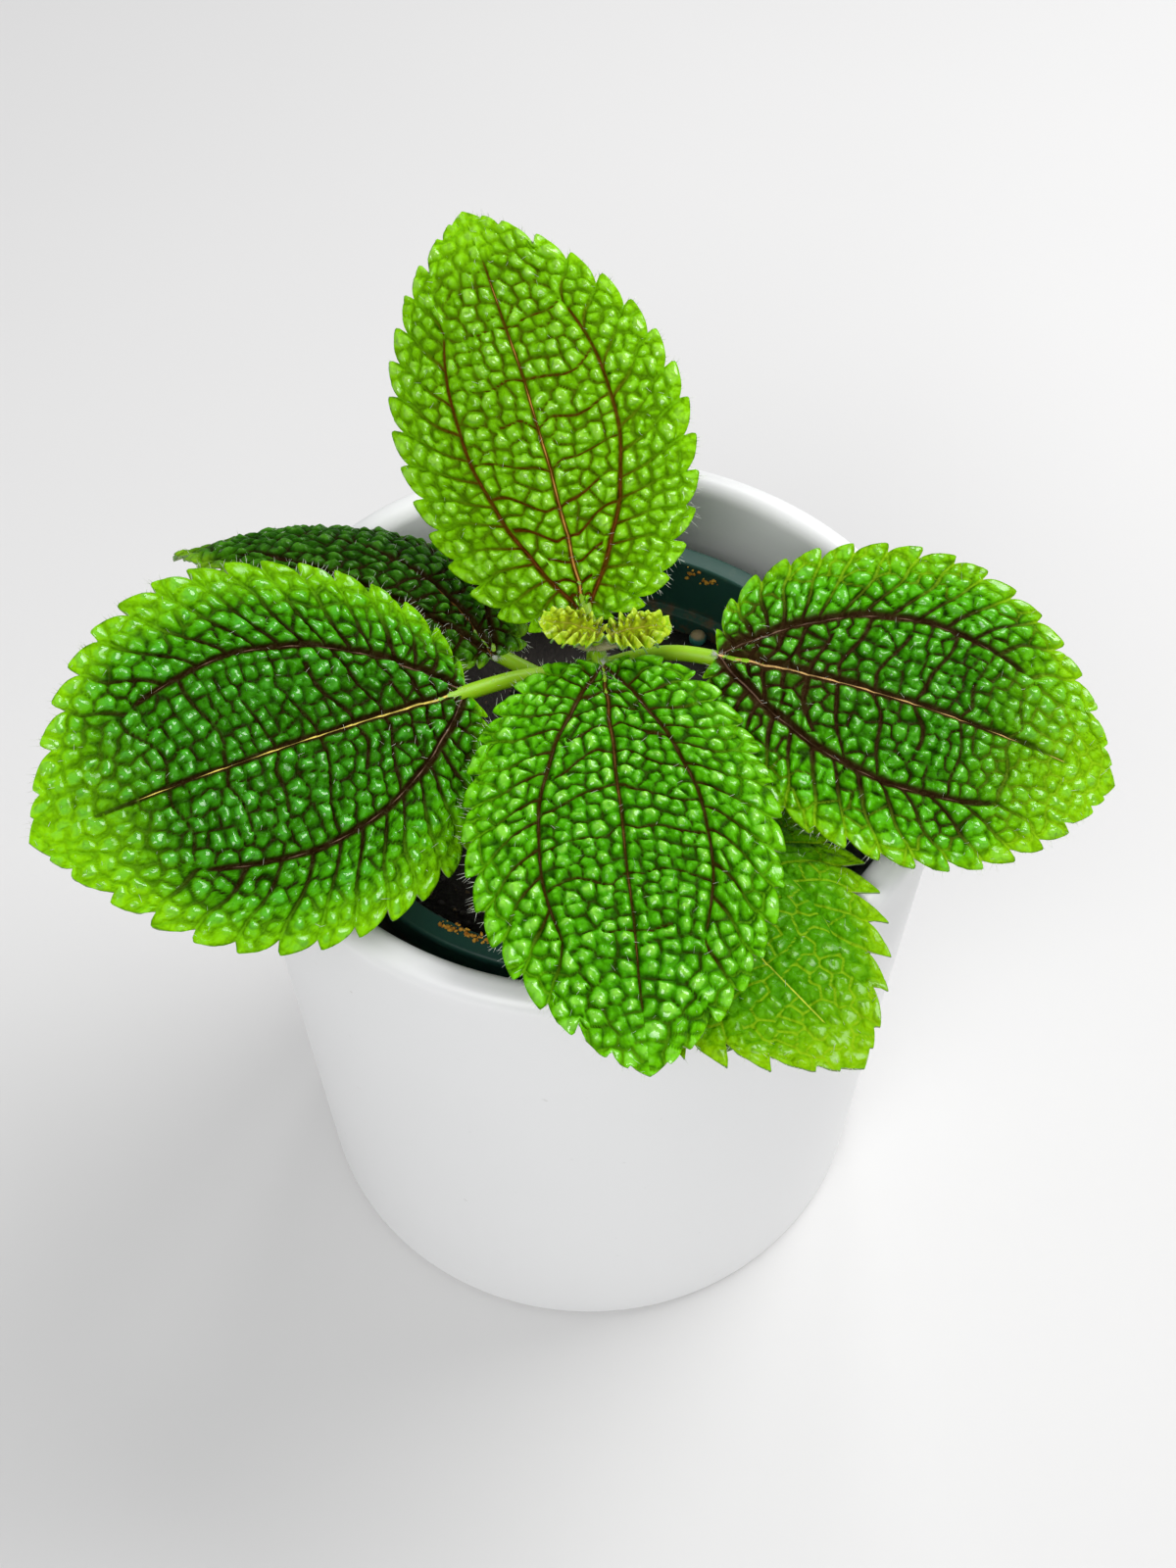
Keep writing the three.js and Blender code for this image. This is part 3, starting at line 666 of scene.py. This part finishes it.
def blister_seeds(leaf, phases, dice):
    """Middles of one half's blisters: first in rows between the cross veins, then in what is bare."""
    seeds = []
    for outer in (False, True):
        bands = band_count(leaf, outer)
        low = 0.5 if outer else 0.0
        for band in range(bands):
            middle = np.array([(band + 0.5) / bands])
            height, width = spacing(leaf, middle, np.array([low + 0.25]))
            height, width = height[0] / bands, width[0] * 0.5
            count = max(1, round(width / leaf["cell"] + dice.uniform(-0.4, 0.3)))
            for k in range(count):
                tooth = outer and k == count - 1
                stack = 1 if tooth else max(1, round(height / leaf["cell"] + dice.uniform(-0.45, 0.3)))
                for level in range(stack):
                    column = low + 0.5 * (k + 0.5 + dice.uniform(-0.24, 0.24)) / count
                    share = (band + (level + 0.5 + dice.uniform(-0.2, 0.2)) / stack) / bands
                    share -= float(wander(share, column, phases)) / bands
                    held = min(max(share, 0), 1)
                    spot = plan(leaf, np.array([held]), np.array([column]))[0]
                    if clear_of(spot, seeds, leaf["cell"] * ROW_ROOM):
                        seeds.append((spot, outer, band))
    spare = np.array([(dice.random(), dice.uniform(0.03, 0.97)) for _ in range(SPARE_SEEDS)])
    for (share, column), spot in zip(spare, plan(leaf, spare[:, 0], spare[:, 1])):
        if clear_of(spot, seeds, leaf["cell"] * SPARE_ROOM):
            bands = band_count(leaf, column >= 0.5)
            level = share * bands + float(wander(share, column, phases))
            seeds.append((spot, column >= 0.5, min(max(math.floor(level), 0), bands - 1)))
    return seeds


def blister_families(seeds, dice):
    """Groups blisters in twos and threes; gives each the number of its family's head."""
    spots, outer, band = (np.array([seed[field] for seed in seeds]) for field in range(3))
    head = np.array([dice.random() < 0.45 for _ in seeds])
    reach = np.linalg.norm(spots[:, None] - spots[head][None], axis=-1)
    reach += APART * (outer[:, None] != outer[head]) + 3 * (band[:, None] != band[head])
    return reach.argmin(axis=1)


def vein_net(leaf, share, column, main, dice):
    """Mm to the nearest cross vein and blister edge, and the swelling there, 0 to about 1.

    A blister swells from the walls around it, which are its veins and its neighbours, and is
    highest at its seed. A wall between two of one family is only half formed.
    """
    phases = [dice.uniform(0, 6) for _ in range(3)]
    along_gap, across_gap = spacing(leaf, share, column)
    outer = column >= 0.5
    bands = np.where(outer, band_count(leaf, True), band_count(leaf, False))
    level = share * bands + wander(share, column, phases)
    band = np.clip(np.floor(level), 0, bands - 1)
    reach = np.array([dice.uniform(0.45, 1.5) for _ in range(bands.max() + 2)])
    vein_number = np.round(level).astype(int).clip(0)
    within = np.clip((reach[vein_number] * 0.5 - column) / 0.03, 0, 1)
    room = along_gap / bands / leaf["cell"]
    row_held = smooth(room, 0.67, 0.97) * smooth(share, 0.92, 0.84) * np.where(outer, 1, within)
    vein_held = smooth(share, 0.9, 0.78)
    seeds = blister_seeds(leaf, phases, dice)
    spots = np.array([spot for spot, _, _ in seeds])
    seed_outer = np.array([is_outer for _, is_outer, _ in seeds])
    seed_band = np.array([of_band for _, _, of_band in seeds])
    gaps = np.linalg.norm(plan(leaf, share, column)[:, None] - spots[None], axis=-1)
    other_zone = outer[:, None] != seed_outer[None]
    other_band = (band[:, None] != seed_band[None]) & ~other_zone
    across_row = (row_held[:, None] > 0.5) & other_band
    across_vein = (vein_held[:, None] > 0.5) & other_zone
    gaps += APART * (across_row | across_vein)
    order = np.argpartition(gaps, NEAREST_SEEDS, axis=1)[:, :NEAREST_SEEDS]
    by_gap = np.take_along_axis(gaps, order, axis=1).argsort(axis=1)
    order = np.take_along_axis(order, by_gap, axis=1)
    near, *others = np.take_along_axis(gaps, order, axis=1).T
    rib = np.abs(level - np.round(level)) * along_gap / bands + APART * (1 - row_held)
    walls = [rib, main, (1 - column) * across_gap + 0.6]
    family = blister_families(seeds, dice)[order]
    for rank, far in enumerate(others, 1):
        between = np.linalg.norm(spots[order[:, rank]] - spots[order[:, 0]], axis=-1)
        walls.append((far ** 2 - near ** 2) / (2 * between))
    walls = np.maximum(walls, 0.02)
    kin = (family[:, 1:] == family[:, :1]).T
    edge = (walls[3:] + APART * kin).min(axis=0)
    walls[3:] += KIN_GAP * leaf["cell"] * kin
    wall = (walls ** -4.0).sum(axis=0) ** -0.25
    fullness = np.array([dice.uniform(0.75, 1.2) for _ in seeds])[order[:, 0]]
    dome = (1 - (near / (near + wall)) ** 2) ** 0.8
    size = np.clip((near + wall) / (leaf["cell"] * 0.5), 0.45, 1.15)
    return rib, edge, dome * fullness * size


def curve_blade(leaf, flat, lift):
    """Carries flat places, with a lift above the blade, to the curved leaf; everything in mm."""
    arch = math.radians(leaf["arch"])
    cup = math.radians(leaf["cup"]) / (leaf["width"] / 2)
    x, across = flat[:, 0] / leaf["length"], flat[:, 1]
    side, height = across, lift
    if cup:
        side, height = np.sin(cup * across) / cup, lift + (1 - np.cos(cup * across)) / cup
    local = np.stack([
        leaf["length"] * np.sin(arch * x) / arch + np.sin(arch * x) * height,
        side + leaf["bend"] * leaf["length"] * x * x,
        -leaf["length"] * (1 - np.cos(arch * x)) / arch + np.cos(arch * x) * height,
    ], axis=-1)
    turn = (Matrix.Rotation(math.radians(leaf["heading"]), 3, "Z")
            @ Matrix.Rotation(math.radians(-leaf["rise"]), 3, "Y")
            @ Matrix.Rotation(math.radians(leaf["roll"]), 3, "X"))
    return local @ np.array(turn).T + np.array(leaf["base"])


def wrinkle(flat, seed, size):
    """Fine uneven noise over flat places."""
    return np.array([noise.noise(Vector((x / size, y / size, seed))) for x, y in flat])


def blade_surface(leaf, share, side_column, dice):
    """Flat places, relief height and vein distances for every point of a blade's upper skin."""
    column = np.abs(side_column)
    flat = plan(leaf, share, column, tooth_inset(leaf, share, column))
    flat[side_column < 0, 1] *= -1
    _, across_gap = spacing(leaf, share, column)
    zigzag = 0.13 * np.sin(share * leaf["rows"] * leaf["inner_bands"] * np.pi + leaf["seed"])
    vein = np.abs((column - 0.5) * across_gap + zigzag) + APART * smooth(share, 0.8, 0.92)
    mid = np.abs(flat[:, 1] - zigzag * smooth(share, 0, 0.15)) + APART * smooth(share, 0.92, 0.99)
    main = np.minimum(mid, vein)
    rib, edge, swell = (np.zeros(share.shape) for _ in range(3))
    for half in (side_column >= 0, side_column < 0):
        strip = np.maximum(main - leaf["strip"] * (1.2 - flat[:, 0] / leaf["length"]), 0)[half]
        rib[half], edge[half], swell[half] = vein_net(leaf, share[half], column[half], strip, dice)
    ends = smooth(share, 0, 0.07) * smooth(share, 1, 0.9)
    margin = smooth(column, 0.84, 1)
    furrow = 0.2 * np.exp(-(rib / 0.7) ** 2) * (1 - 0.6 * margin)
    furrow += 0.45 * np.exp(-(main / 0.9) ** 2)
    ridge = 0.16 * np.exp(-(main / 0.26) ** 2)
    lumps = 0.42 * wrinkle(flat, leaf["seed"], 1.25) * swell
    waves = wrinkle(flat, leaf["seed"] + 5, leaf["length"] / 7) * smooth(column, 0.3, 1)
    pleats = (0.5 - 0.5 * np.cos(share * leaf["rows"] * math.tau)) * smooth(column, 0.05, 0.6)
    along = flat[:, 0] / leaf["length"]
    outer = np.maximum(smooth(column, 0.62, 0.95), smooth(along, 0.62, 0.9))
    rise = BLISTER_RISE * leaf["relief"] * (1 - 0.3 * margin) * (1 - leaf["calm"] * outer)
    fine = ((swell + lumps) * rise + ridge - furrow) * min(1, leaf["length"] / GROWN_LENGTH * 1.4)
    lift = (fine + leaf["ruffle"] * waves + leaf["pleat"] * pleats) * ends
    return flat, lift, {
        "mid_mm": mid, "vein_mm": vein, "rib_mm": rib, "cell_mm": edge,
        "swell": swell + lumps + leaf["pleat"] * (pleats - 0.4), "zone": column, "along": along,
    }


def blade_mesh(leaf, dice):
    """A closed blade: upper skin with its relief, thin edge and underside."""
    shape = bmesh.new()
    across = leaf["across"]
    along = leaf["rows"] * STEPS_IN_A_ROW
    bmesh.ops.create_grid(shape, x_segments=along, y_segments=2 * across, size=0.5)
    grid = np.array([vert.co[:2] for vert in shape.verts])
    share = np.clip(grid[:, 0] + 0.5, 0, 1)
    side_column = np.round(grid[:, 1] * 2 * across) / across
    flat, lift, notes = blade_surface(leaf, share, side_column, dice)
    for name, values in notes.items():
        layer = shape.verts.layers.float.new(name)
        for vert, value in zip(shape.verts, values):
            vert[layer] = value
    for vert, place in zip(shape.verts, curve_blade(leaf, flat, lift)):
        vert.co = Vector(place) * MM
    points = list(shape.verts)
    for end in (0.0, 1.0):
        tips = [vert for vert, at in zip(points, share) if abs(at - end) < 1e-6]
        bmesh.ops.pointmerge(shape, verts=tips, merge_co=tips[0].co)
    bmesh.ops.dissolve_degenerate(shape, dist=1e-7, edges=shape.edges)
    bmesh.ops.recalc_face_normals(shape, faces=shape.faces)
    centre = np.array([[leaf["length"] / 2, 0], [leaf["length"] / 2, 0]])
    low, high = (Vector(place) * MM for place in curve_blade(leaf, centre, np.array([0.0, 1.0])))
    near_it = MIDDLE_REACH * MM
    middle = [face for face in shape.faces if (face.calc_center_median() - low).length < near_it]
    if sum(face.normal.dot(high - low) for face in middle) < 0:
        bmesh.ops.reverse_faces(shape, faces=shape.faces)
    upper = set(shape.faces)
    bmesh.ops.solidify(shape, geom=shape.faces[:], thickness=leaf["thickness"] * MM)
    for face in shape.faces:
        face.material_index = 0 if face in upper else 1
    return shape


def note(tree, name):
    """A value that the blade's points carry."""
    return node(tree, "ShaderNodeAttribute", {"attribute_name": name}, output=2)


def blade_material(name, look):
    """The skin of one blade: green by place, darker and wine brown along the veins, with painted shade in
    the valleys between the blisters and painted highlights on their crowns.
    """
    material, tree, surface = new_material(name)
    place = object_place(tree)
    mid, vein, rib, cell, swell, zone, along = (
        note(tree, field) for field in ("mid_mm", "vein_mm", "rib_mm", "cell_mm", "swell", "zone", "along"))
    blotch = noise_at(tree, place, 55.0, 3.0) - 0.5
    grain = noise_at(tree, place, 1500.0, 2.0)
    crumple = noise_at(tree, place, 820.0, 1.5)
    pebble = node(tree, "ShaderNodeTexVoronoi", {"feature": "SMOOTH_F1"}, {
        "Vector": place, "Scale": 560.0, "Smoothness": 0.35})
    main = mid.min(vein)
    small = rib.min(cell)
    outward = (zone + blotch * 0.5).fade(0.2, 0.85)
    green = mix(tree, outward, colour(*look["core"]), colour(*look["green"]))
    tip_glow = (along + blotch * 0.2).fade(look["tip_from"], look["tip_to"])
    rim = ((zone + blotch * 0.3).fade(look["rim_from"], 1.08) + tip_glow).min(1.0)
    green = mix(tree, rim, green, colour(*look["edge"]))
    # Painted shade: the valleys between the blisters, and the creases between the small lumps on them, are
    # darkened towards the deep colour.
    puffed = swell - pebble * 0.55 + 0.16
    shaded_valley = mix(tree, rim * look["open_rim"], colour(*look["deep"]), green)
    green = mix(tree, puffed.fade(0.0, 0.65), shaded_valley, green)
    # Painted highlight: the blister crowns are lightened towards the light colour, by as much as crown
    # sets.
    crown = puffed.fade(0.5, 1.1)
    green = mix(tree, crown * (1.0 - rim * 0.6) * look["crown"], green, colour(*look["light"]))
    fade_out = 1.0 - (zone + blotch * 0.5).fade(look["wine_from"], look["wine_to"]).max(tip_glow)
    broad = 1.35 - along
    beside_main = 1.0 - (main / broad).fade(look["wine_solid"], look["wine_width"])
    beside_rib = (1.0 - rib.fade(0.08, look["rib_width"])) * 0.95
    round_cell = (1.0 - cell.fade(0.05, 0.34)) * look["cell_wine"]
    furrow = beside_main.max(beside_rib).max(round_cell)
    stain = (1.0 - (along + zone * 0.2 + blotch * 0.3).fade(0.0, 0.5)) * look["base_stain"]
    wine = (furrow + stain * (1.0 - puffed.fade(0.2, 0.9))).min(1.0) * fade_out * look["wine_amount"]
    tone = mix(tree, wine, green, colour(*look["wine"]))
    pale_vein = (1.0 - small.fade(0.1, 0.35)) * (1.0 - fade_out) * look["pale_net"]
    tone = mix(tree, pale_vein, tone, colour(*look["net"]))
    line_end = 1.0 - along.fade(*look["midrib_end"])
    centre_line = (1.0 - (mid / broad / look["midrib_line"]).fade(0.07, 0.2)) * line_end
    tone = mix(tree, centre_line * look["midrib_amount"], tone, colour(*look["midrib"]))
    side_line = (1.0 - (vein / broad).fade(0.04, 0.14)) * (1.0 - along.fade(0.62, 0.8))
    tone = mix(tree, side_line * look["side_amount"], tone, colour(*look["side"]))
    feed(tree, surface, "Base Color", tone)
    feed(tree, surface, "Roughness", 0.4 - crown * 0.1 + (grain - 0.5) * 0.08)
    surface.inputs["Specular IOR Level"].default_value = 0.06
    surface.inputs["Specular Tint"].default_value = (0.75, 1.0, 0.35, 1.0)
    feed(tree, surface, "Coat Weight", puffed.fade(0.45, 1.0) * look["gloss"])
    surface.inputs["Coat Roughness"].default_value = 0.07
    surface.inputs["Coat IOR"].default_value = 1.75
    bump(tree, surface, grain * 0.08 + crumple * 0.8 - pebble, 0.9, 0.001)
    return material


underside, tree, surface = new_material("leaf_underside")
place = object_place(tree)
net = 1.0 - note(tree, "rib_mm").min(note(tree, "cell_mm")).fade(0.1, 0.5)
ribs = 1.0 - note(tree, "mid_mm").min(note(tree, "vein_mm")).fade(0.3, 0.8)
tone = mix(tree, noise_at(tree, place, 60.0), colour(0.12, 0.26, 0.05), colour(0.20, 0.36, 0.09))
tone = mix(tree, net.max(ribs) * 0.7, tone, colour(0.30, 0.34, 0.14))
feed(tree, surface, "Base Color", tone)
surface.inputs["Roughness"].default_value = 0.6
bump(tree, surface, net.max(ribs), 0.6, 0.0004)


def grow_leaf(leaf, materials):
    """Builds one leaf with its blade, stalk, midrib and hairs, as one piece."""
    dice = random.Random(leaf["seed"])
    leaf["outline"] = half_outline(leaf)
    blade = blade_mesh(leaf, dice)
    zone = blade.verts.layers.float["zone"]
    upper = [face.verts[0] for face in blade.faces if face.material_index == 0]
    fringe = [vert for vert in upper if vert[zone] > FRINGE_FROM]
    heart = Vector(curve_blade(leaf, np.array([[leaf["length"] * 0.45, 0]]), np.array([0.0]))[0])
    extras = bmesh.new()
    radius = STALK_RADIUS * min(1, leaf["length"] / 50)
    # The midrib stands out below most of a grown blade, and below the foot of a young one.
    shares = np.linspace(0.05, 0.8, 12) if leaf["length"] > 20 else np.array([0.12, 0.26])
    under = -leaf["thickness"] * 0.5 - 0.45 * min(1, leaf["length"] / GROWN_LENGTH)
    ribs = radius * (0.9 - 0.85 * shares)
    rib_path = curve_blade(
        leaf, np.stack([shares * leaf["length"], shares * 0], axis=-1), under - ribs * 0.8)
    approach = smooth_path([*leaf["stalk"], rib_path[0]], 16)
    path = np.concatenate([approach, rib_path[1:]])
    radii = [radius] * len(approach) + list(ribs[1:])
    hairy_rod(extras, path, radii, leaf["stalk_hairs"], 2, 3, dice)
    for number in range(leaf["hairs"]):
        on_fringe = number % 2 == 0
        vert = dice.choice(fringe if on_fringe else upper)
        root, normal = vert.co / MM, vert.normal
        outward = (root - heart).normalized() if on_fringe else Vector()
        lean = Vector([dice.gauss(0, 0.4) for _ in range(3)])
        length = dice.uniform(0.7, 1.6) * min(1, leaf["length"] / 40)
        add_hair(extras, root, normal * 0.5 + outward + lean, length, 3)
    scrap = bpy.data.meshes.new("extras")
    extras.to_mesh(scrap)
    blade.from_mesh(scrap)
    extras.free()
    bpy.data.meshes.remove(scrap)
    skins = [*materials, green_skin, hair_material]
    piece = finish_object(leaf["name"].replace("leaf", "blade"), blade, skins)
    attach(piece, "root")
    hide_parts(leaf["name"])


# How a blade looks. Colours are linear light, and wine_solid and the widths are mm from a vein. What
# ends in _from, _to or _end is a share of the way out or along, and the rest scale their effect.
# The deep colour is painted shade in the valleys between the blisters, which open_rim lifts near
# the margin. The light colour is a painted highlight on the blister crowns, as much as crown sets.
LOOK = {
    "deep": (0.007, 0.030, 0.0005), "core": (0.025, 0.190, 0.0005), "green": (0.062, 0.360, 0.0005),
    "edge": (0.240, 0.620, 0.001), "light": (0.060, 0.500, 0.001), "crown": 0.7, "gloss": 0.9,
    "tip_from": 0.68, "tip_to": 0.98, "rim_from": 0.66, "open_rim": 0.6, "wine": (0.020, 0.007, 0.002),
    "wine_from": 0.62, "wine_to": 0.98, "wine_amount": 0.95, "wine_solid": 0.35, "wine_width": 1.15,
    "rib_width": 0.6, "cell_wine": 0.75, "base_stain": 0.3, "net": (0.20, 0.60, 0.004), "pale_net": 0.5,
    "midrib": (0.95, 0.78, 0.16), "midrib_amount": 1.0, "midrib_line": 1.0, "midrib_end": (0.82, 0.93),
    "side": (0.46, 0.28, 0.19), "side_amount": 0.45,
}
# How a blade grows: inner_bands is the share of the bands that the inner half has, cell a blister's
# mm, calm how much the blisters flatten outwards, strip the plain mm beside a vein, ruffle and
# pleat lift the skin by mm, sharp straightens the teeth, across counts mesh steps to the margin.
GROWTH = {
    "inner_bands": 0.68, "cell": 2.7, "relief": 1.0, "calm": 0.15, "strip": 0.15, "ruffle": 0.5,
    "pleat": 0.0, "tooth": 1.0, "sharp": 0.2, "thickness": 0.5, "across": 64, "hairs": 420,
    "stalk_hairs": 60, "slot": "leaf",
}
# The grown leaves: base, length and width in mm, five angles in degrees, a sideways bend and the
# outline's widest and tip as shares, rows of teeth, and the stalk's places on its way to the base.
LEAVES = [
    {
        "name": "leaf_upper_back", "seed": 11, "base": (-0.8, 6.4, 154.4), "heading": 105.5,
        "rise": 38.5, "roll": -21.3, "arch": 15, "cup": -13, "bend": 0.112, "length": 79, "width": 55.5,
        "widest": 0.454, "tip": 0.165, "rows": 16, "stalk": [(1, 0.6, 151.4), (0.5, 3, 152.7)],
        "look": {
            "deep": (0.075, 0.190, 0.0005), "core": (0.170, 0.500, 0.001),
            "green": (0.200, 0.570, 0.001), "edge": (0.270, 0.680, 0.002),
            "light": (0.370, 0.820, 0.030), "gloss": 1.0, "tip_from": 0.8, "rim_from": 0.8,
            "wine": (0.110, 0.026, 0.002), "wine_from": 0.45, "wine_to": 0.95, "wine_solid": 0.15,
            "wine_width": 0.6, "rib_width": 0.36, "cell_wine": 0.4, "base_stain": 0.1,
            "midrib": (0.80, 0.40, 0.09), "side": (0.30, 0.07, 0.02),
        },
    },
    {
        "name": "leaf_upper_front", "seed": 12, "base": (2.3, -5.8, 154.8), "heading": -85.1,
        "rise": 3.6, "roll": 1.1, "arch": 17, "cup": -9.6, "bend": 0, "length": 78.4, "width": 53.7,
        "widest": 0.443, "tip": 0.227, "rows": 16, "cell": 2.6,
        "stalk": [(1, 1, 151.4), (1.6, -2.4, 153.2)],
        "look": {
            "deep": (0.012, 0.070, 0.0005), "core": (0.060, 0.370, 0.0005),
            "green": (0.090, 0.440, 0.0005), "edge": (0.170, 0.600, 0.001),
            "light": (0.270, 0.780, 0.030), "crown": 0.85, "gloss": 1.0, "tip_from": 0.8, "tip_to": 1.1,
            "rim_from": 0.8, "open_rim": 0.2, "wine": (0.040, 0.016, 0.002), "wine_from": 0.6,
            "wine_to": 1.0, "wine_solid": 0.15, "wine_width": 0.5, "rib_width": 0.4, "cell_wine": 0.4,
            "base_stain": 0.1, "midrib": (0.26, 0.12, 0.03), "midrib_amount": 0.5, "side_amount": 0.1,
        },
    },
    {
        "name": "leaf_middle_left", "seed": 13, "base": (-21.9, -7.9, 150.2), "heading": 219.9,
        "rise": 22.7, "roll": -26.5, "arch": 19.7, "cup": 0, "bend": 0.012, "length": 82, "width": 68.5,
        "widest": 0.498, "tip": 0.167, "rows": 17, "calm": 0.4, "strip": 0.22,
        "stalk": [(0.6, 4, 141), (-6, 1.6, 144.2), (-14.5, -3.4, 148)],
        "look": {},
    },
    {
        "name": "leaf_middle_right", "seed": 14, "base": (22.7, -2.1, 153.3), "heading": -19.5,
        "rise": 7.1, "roll": 17.8, "arch": 32.8, "cup": 0, "bend": -0.033, "length": 74.3,
        "width": 59.4, "widest": 0.469, "tip": 0.196, "rows": 17, "calm": 0.45, "strip": 0.3,
        "stalk": [(0.8, 3.8, 142.6), (8.5, 2.6, 147.4), (16, 0.2, 151.2)],
        "look": {
            "core": (0.034, 0.250, 0.0005), "green": (0.085, 0.460, 0.0005),
            "edge": (0.250, 0.600, 0.001), "light": (0.120, 0.600, 0.003), "tip_from": 0.58,
            "tip_to": 0.96, "rim_from": 0.76, "wine": (0.034, 0.013, 0.005), "wine_width": 1.5,
            "rib_width": 0.65, "base_stain": 0.8, "net": (0.38, 0.72, 0.01), "pale_net": 0.45,
            "midrib": (0.95, 0.60, 0.22),
        },
    },
    {
        "name": "leaf_lower_back_left", "seed": 15, "base": (-18, 6, 143.9), "heading": 122,
        "rise": 28.6, "roll": 22, "arch": 78, "cup": -31, "bend": 0.42, "length": 65.4, "width": 43,
        "widest": 0.45, "tip": 0.14, "rows": 14,
        "stalk": [(0.2, 8.6, 128.4), (-5, 8, 133), (-11.4, 6.4, 139.4)],
        # Painted shade: this blade's colours are darker than the other blades', for the shade that it lies
        # in below the upper leaves.
        "look": {
            "deep": (0.005, 0.018, 0.0005), "core": (0.014, 0.090, 0.0005),
            "green": (0.034, 0.150, 0.0005), "edge": (0.20, 0.42, 0.010),
            "light": (0.070, 0.290, 0.003), "gloss": 0.3, "tip_from": 0.8, "rim_from": 0.72,
            "midrib": (0.20, 0.10, 0.02), "side": (0.10, 0.05, 0.01),
        },
    },
    {
        "name": "leaf_lower_front_right", "seed": 16, "base": (0.3, -22.9, 136.8), "heading": -51.9,
        "rise": 14.6, "roll": -2.8, "arch": 19.5, "cup": -5.9, "bend": -0.006, "length": 71.1,
        "width": 58.2, "widest": 0.454, "tip": 0.154, "rows": 15, "cell": 2.9, "relief": 0.5,
        "tooth": 2.2, "sharp": 0.8, "stalk": [(0.2, 8, 127), (0, -3, 129.4), (-0.4, -14, 133.2)],
        "look": {
            "deep": (0.045, 0.220, 0.0005), "core": (0.062, 0.290, 0.0005),
            "green": (0.095, 0.360, 0.0005), "edge": (0.240, 0.520, 0.001),
            "light": (0.14, 0.44, 0.001), "gloss": 0.4, "wine_from": -1.0, "wine_to": -0.5,
            "wine_amount": 0.12, "net": (0.36, 0.58, 0.01), "pale_net": 0.5,
            "midrib": (0.60, 0.66, 0.06), "midrib_line": 1.8, "midrib_end": (0.96, 1.02),
            "side": (0.55, 0.65, 0.05),
        },
    },
]
for leaf in LEAVES:
    skin = blade_material(leaf["name"] + "_skin", {**LOOK, **leaf["look"]})
    grow_leaf({**GROWTH, **leaf}, [skin, underside])

# ---------------------------------------------------------------- young leaves
# The newest pair at the growing tip, each on a short stalk of its own beside the papery scales. They
# are still folded and crinkled, and lime green with brown in the creases.
YOUNG = {
    **GROWTH, "rise": 20, "arch": 35, "cup": -35, "bend": 0, "length": 11.5, "width": 11.5,
    "widest": 0.5, "tip": 0.3, "rows": 7, "inner_bands": 1.0, "cell": 1.4, "relief": 0.5, "ruffle": 1.1,
    "pleat": 1.3, "tooth": 3.2, "thickness": 0.35, "across": 26, "hairs": 120, "stalk_hairs": 12,
    "slot": "young_leaf",
}
YOUNG_LOOK = {
    **LOOK, "deep": (0.20, 0.29, 0.003), "core": (0.38, 0.52, 0.006), "green": (0.42, 0.58, 0.010),
    "edge": (0.48, 0.68, 0.020), "light": (0.60, 0.84, 0.06), "gloss": 0.4, "wine": (0.15, 0.10, 0.01),
    "wine_amount": 0.5, "wine_solid": 0.1, "wine_width": 0.4, "cell_wine": 0.3, "base_stain": 0.1,
    "midrib_amount": 0.2, "side_amount": 0.1,
}
young_skin = blade_material("young_leaf_skin", YOUNG_LOOK)
for leaf in (
    {"name": "young_leaf_left", "seed": 21, "base": (2.1, -2.3, 159), "heading": 163, "roll": 12,
     "stalk": [(0.9, -1.6, 156.8), (1.6, -2.1, 158.3)]},
    {"name": "young_leaf_right", "seed": 22, "base": (3.2, -2.6, 159), "heading": 12, "roll": -12,
     "stalk": [(1.1, -1.6, 156.8), (2.4, -2.3, 158.3)]},
):
    grow_leaf({**YOUNG, **leaf}, [young_skin, underside])

# ---------------------------------------------------------------- fertiliser pellet
# One coated round grain of slow fertiliser, teal with a tan cap. It lies loose on the soil, towards
# the back right of the grower's pot.
PELLET_RADIUS = 1.78
PELLET_SPOT = (22.4, 38, 113.2)

pellet_coat, tree, surface = new_material("pellet_coat")
place = object_place(tree)
height = node(tree, "ShaderNodeSeparateXYZ", None, {"Vector": place}, output=2)
mottle = noise_at(tree, place, 700.0)
tone = mix(tree, mottle, colour(0.02, 0.18, 0.16), colour(0.08, 0.34, 0.29))
feed(tree, surface, "Base Color", mix(
    tree, (height + mottle * 0.001).fade(0.1142, 0.1150), tone, colour(0.40, 0.30, 0.16)))
feed(tree, surface, "Roughness", mottle * 0.3 + 0.3)
bump(tree, surface, mottle, 0.4, 0.0003)
shape = bmesh.new()
bmesh.ops.create_icosphere(shape, subdivisions=4, radius=PELLET_RADIUS * MM)
for vert in shape.verts:
    vert.co *= 1 + 0.05 * noise.noise(vert.co / MM * 1.1)
bmesh.ops.translate(shape, verts=shape.verts, vec=Vector(PELLET_SPOT) * MM)
pellet = finish_object("coated_pellet", shape, [pellet_coat])
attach(pellet, "root")
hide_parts("fertiliser_prill")
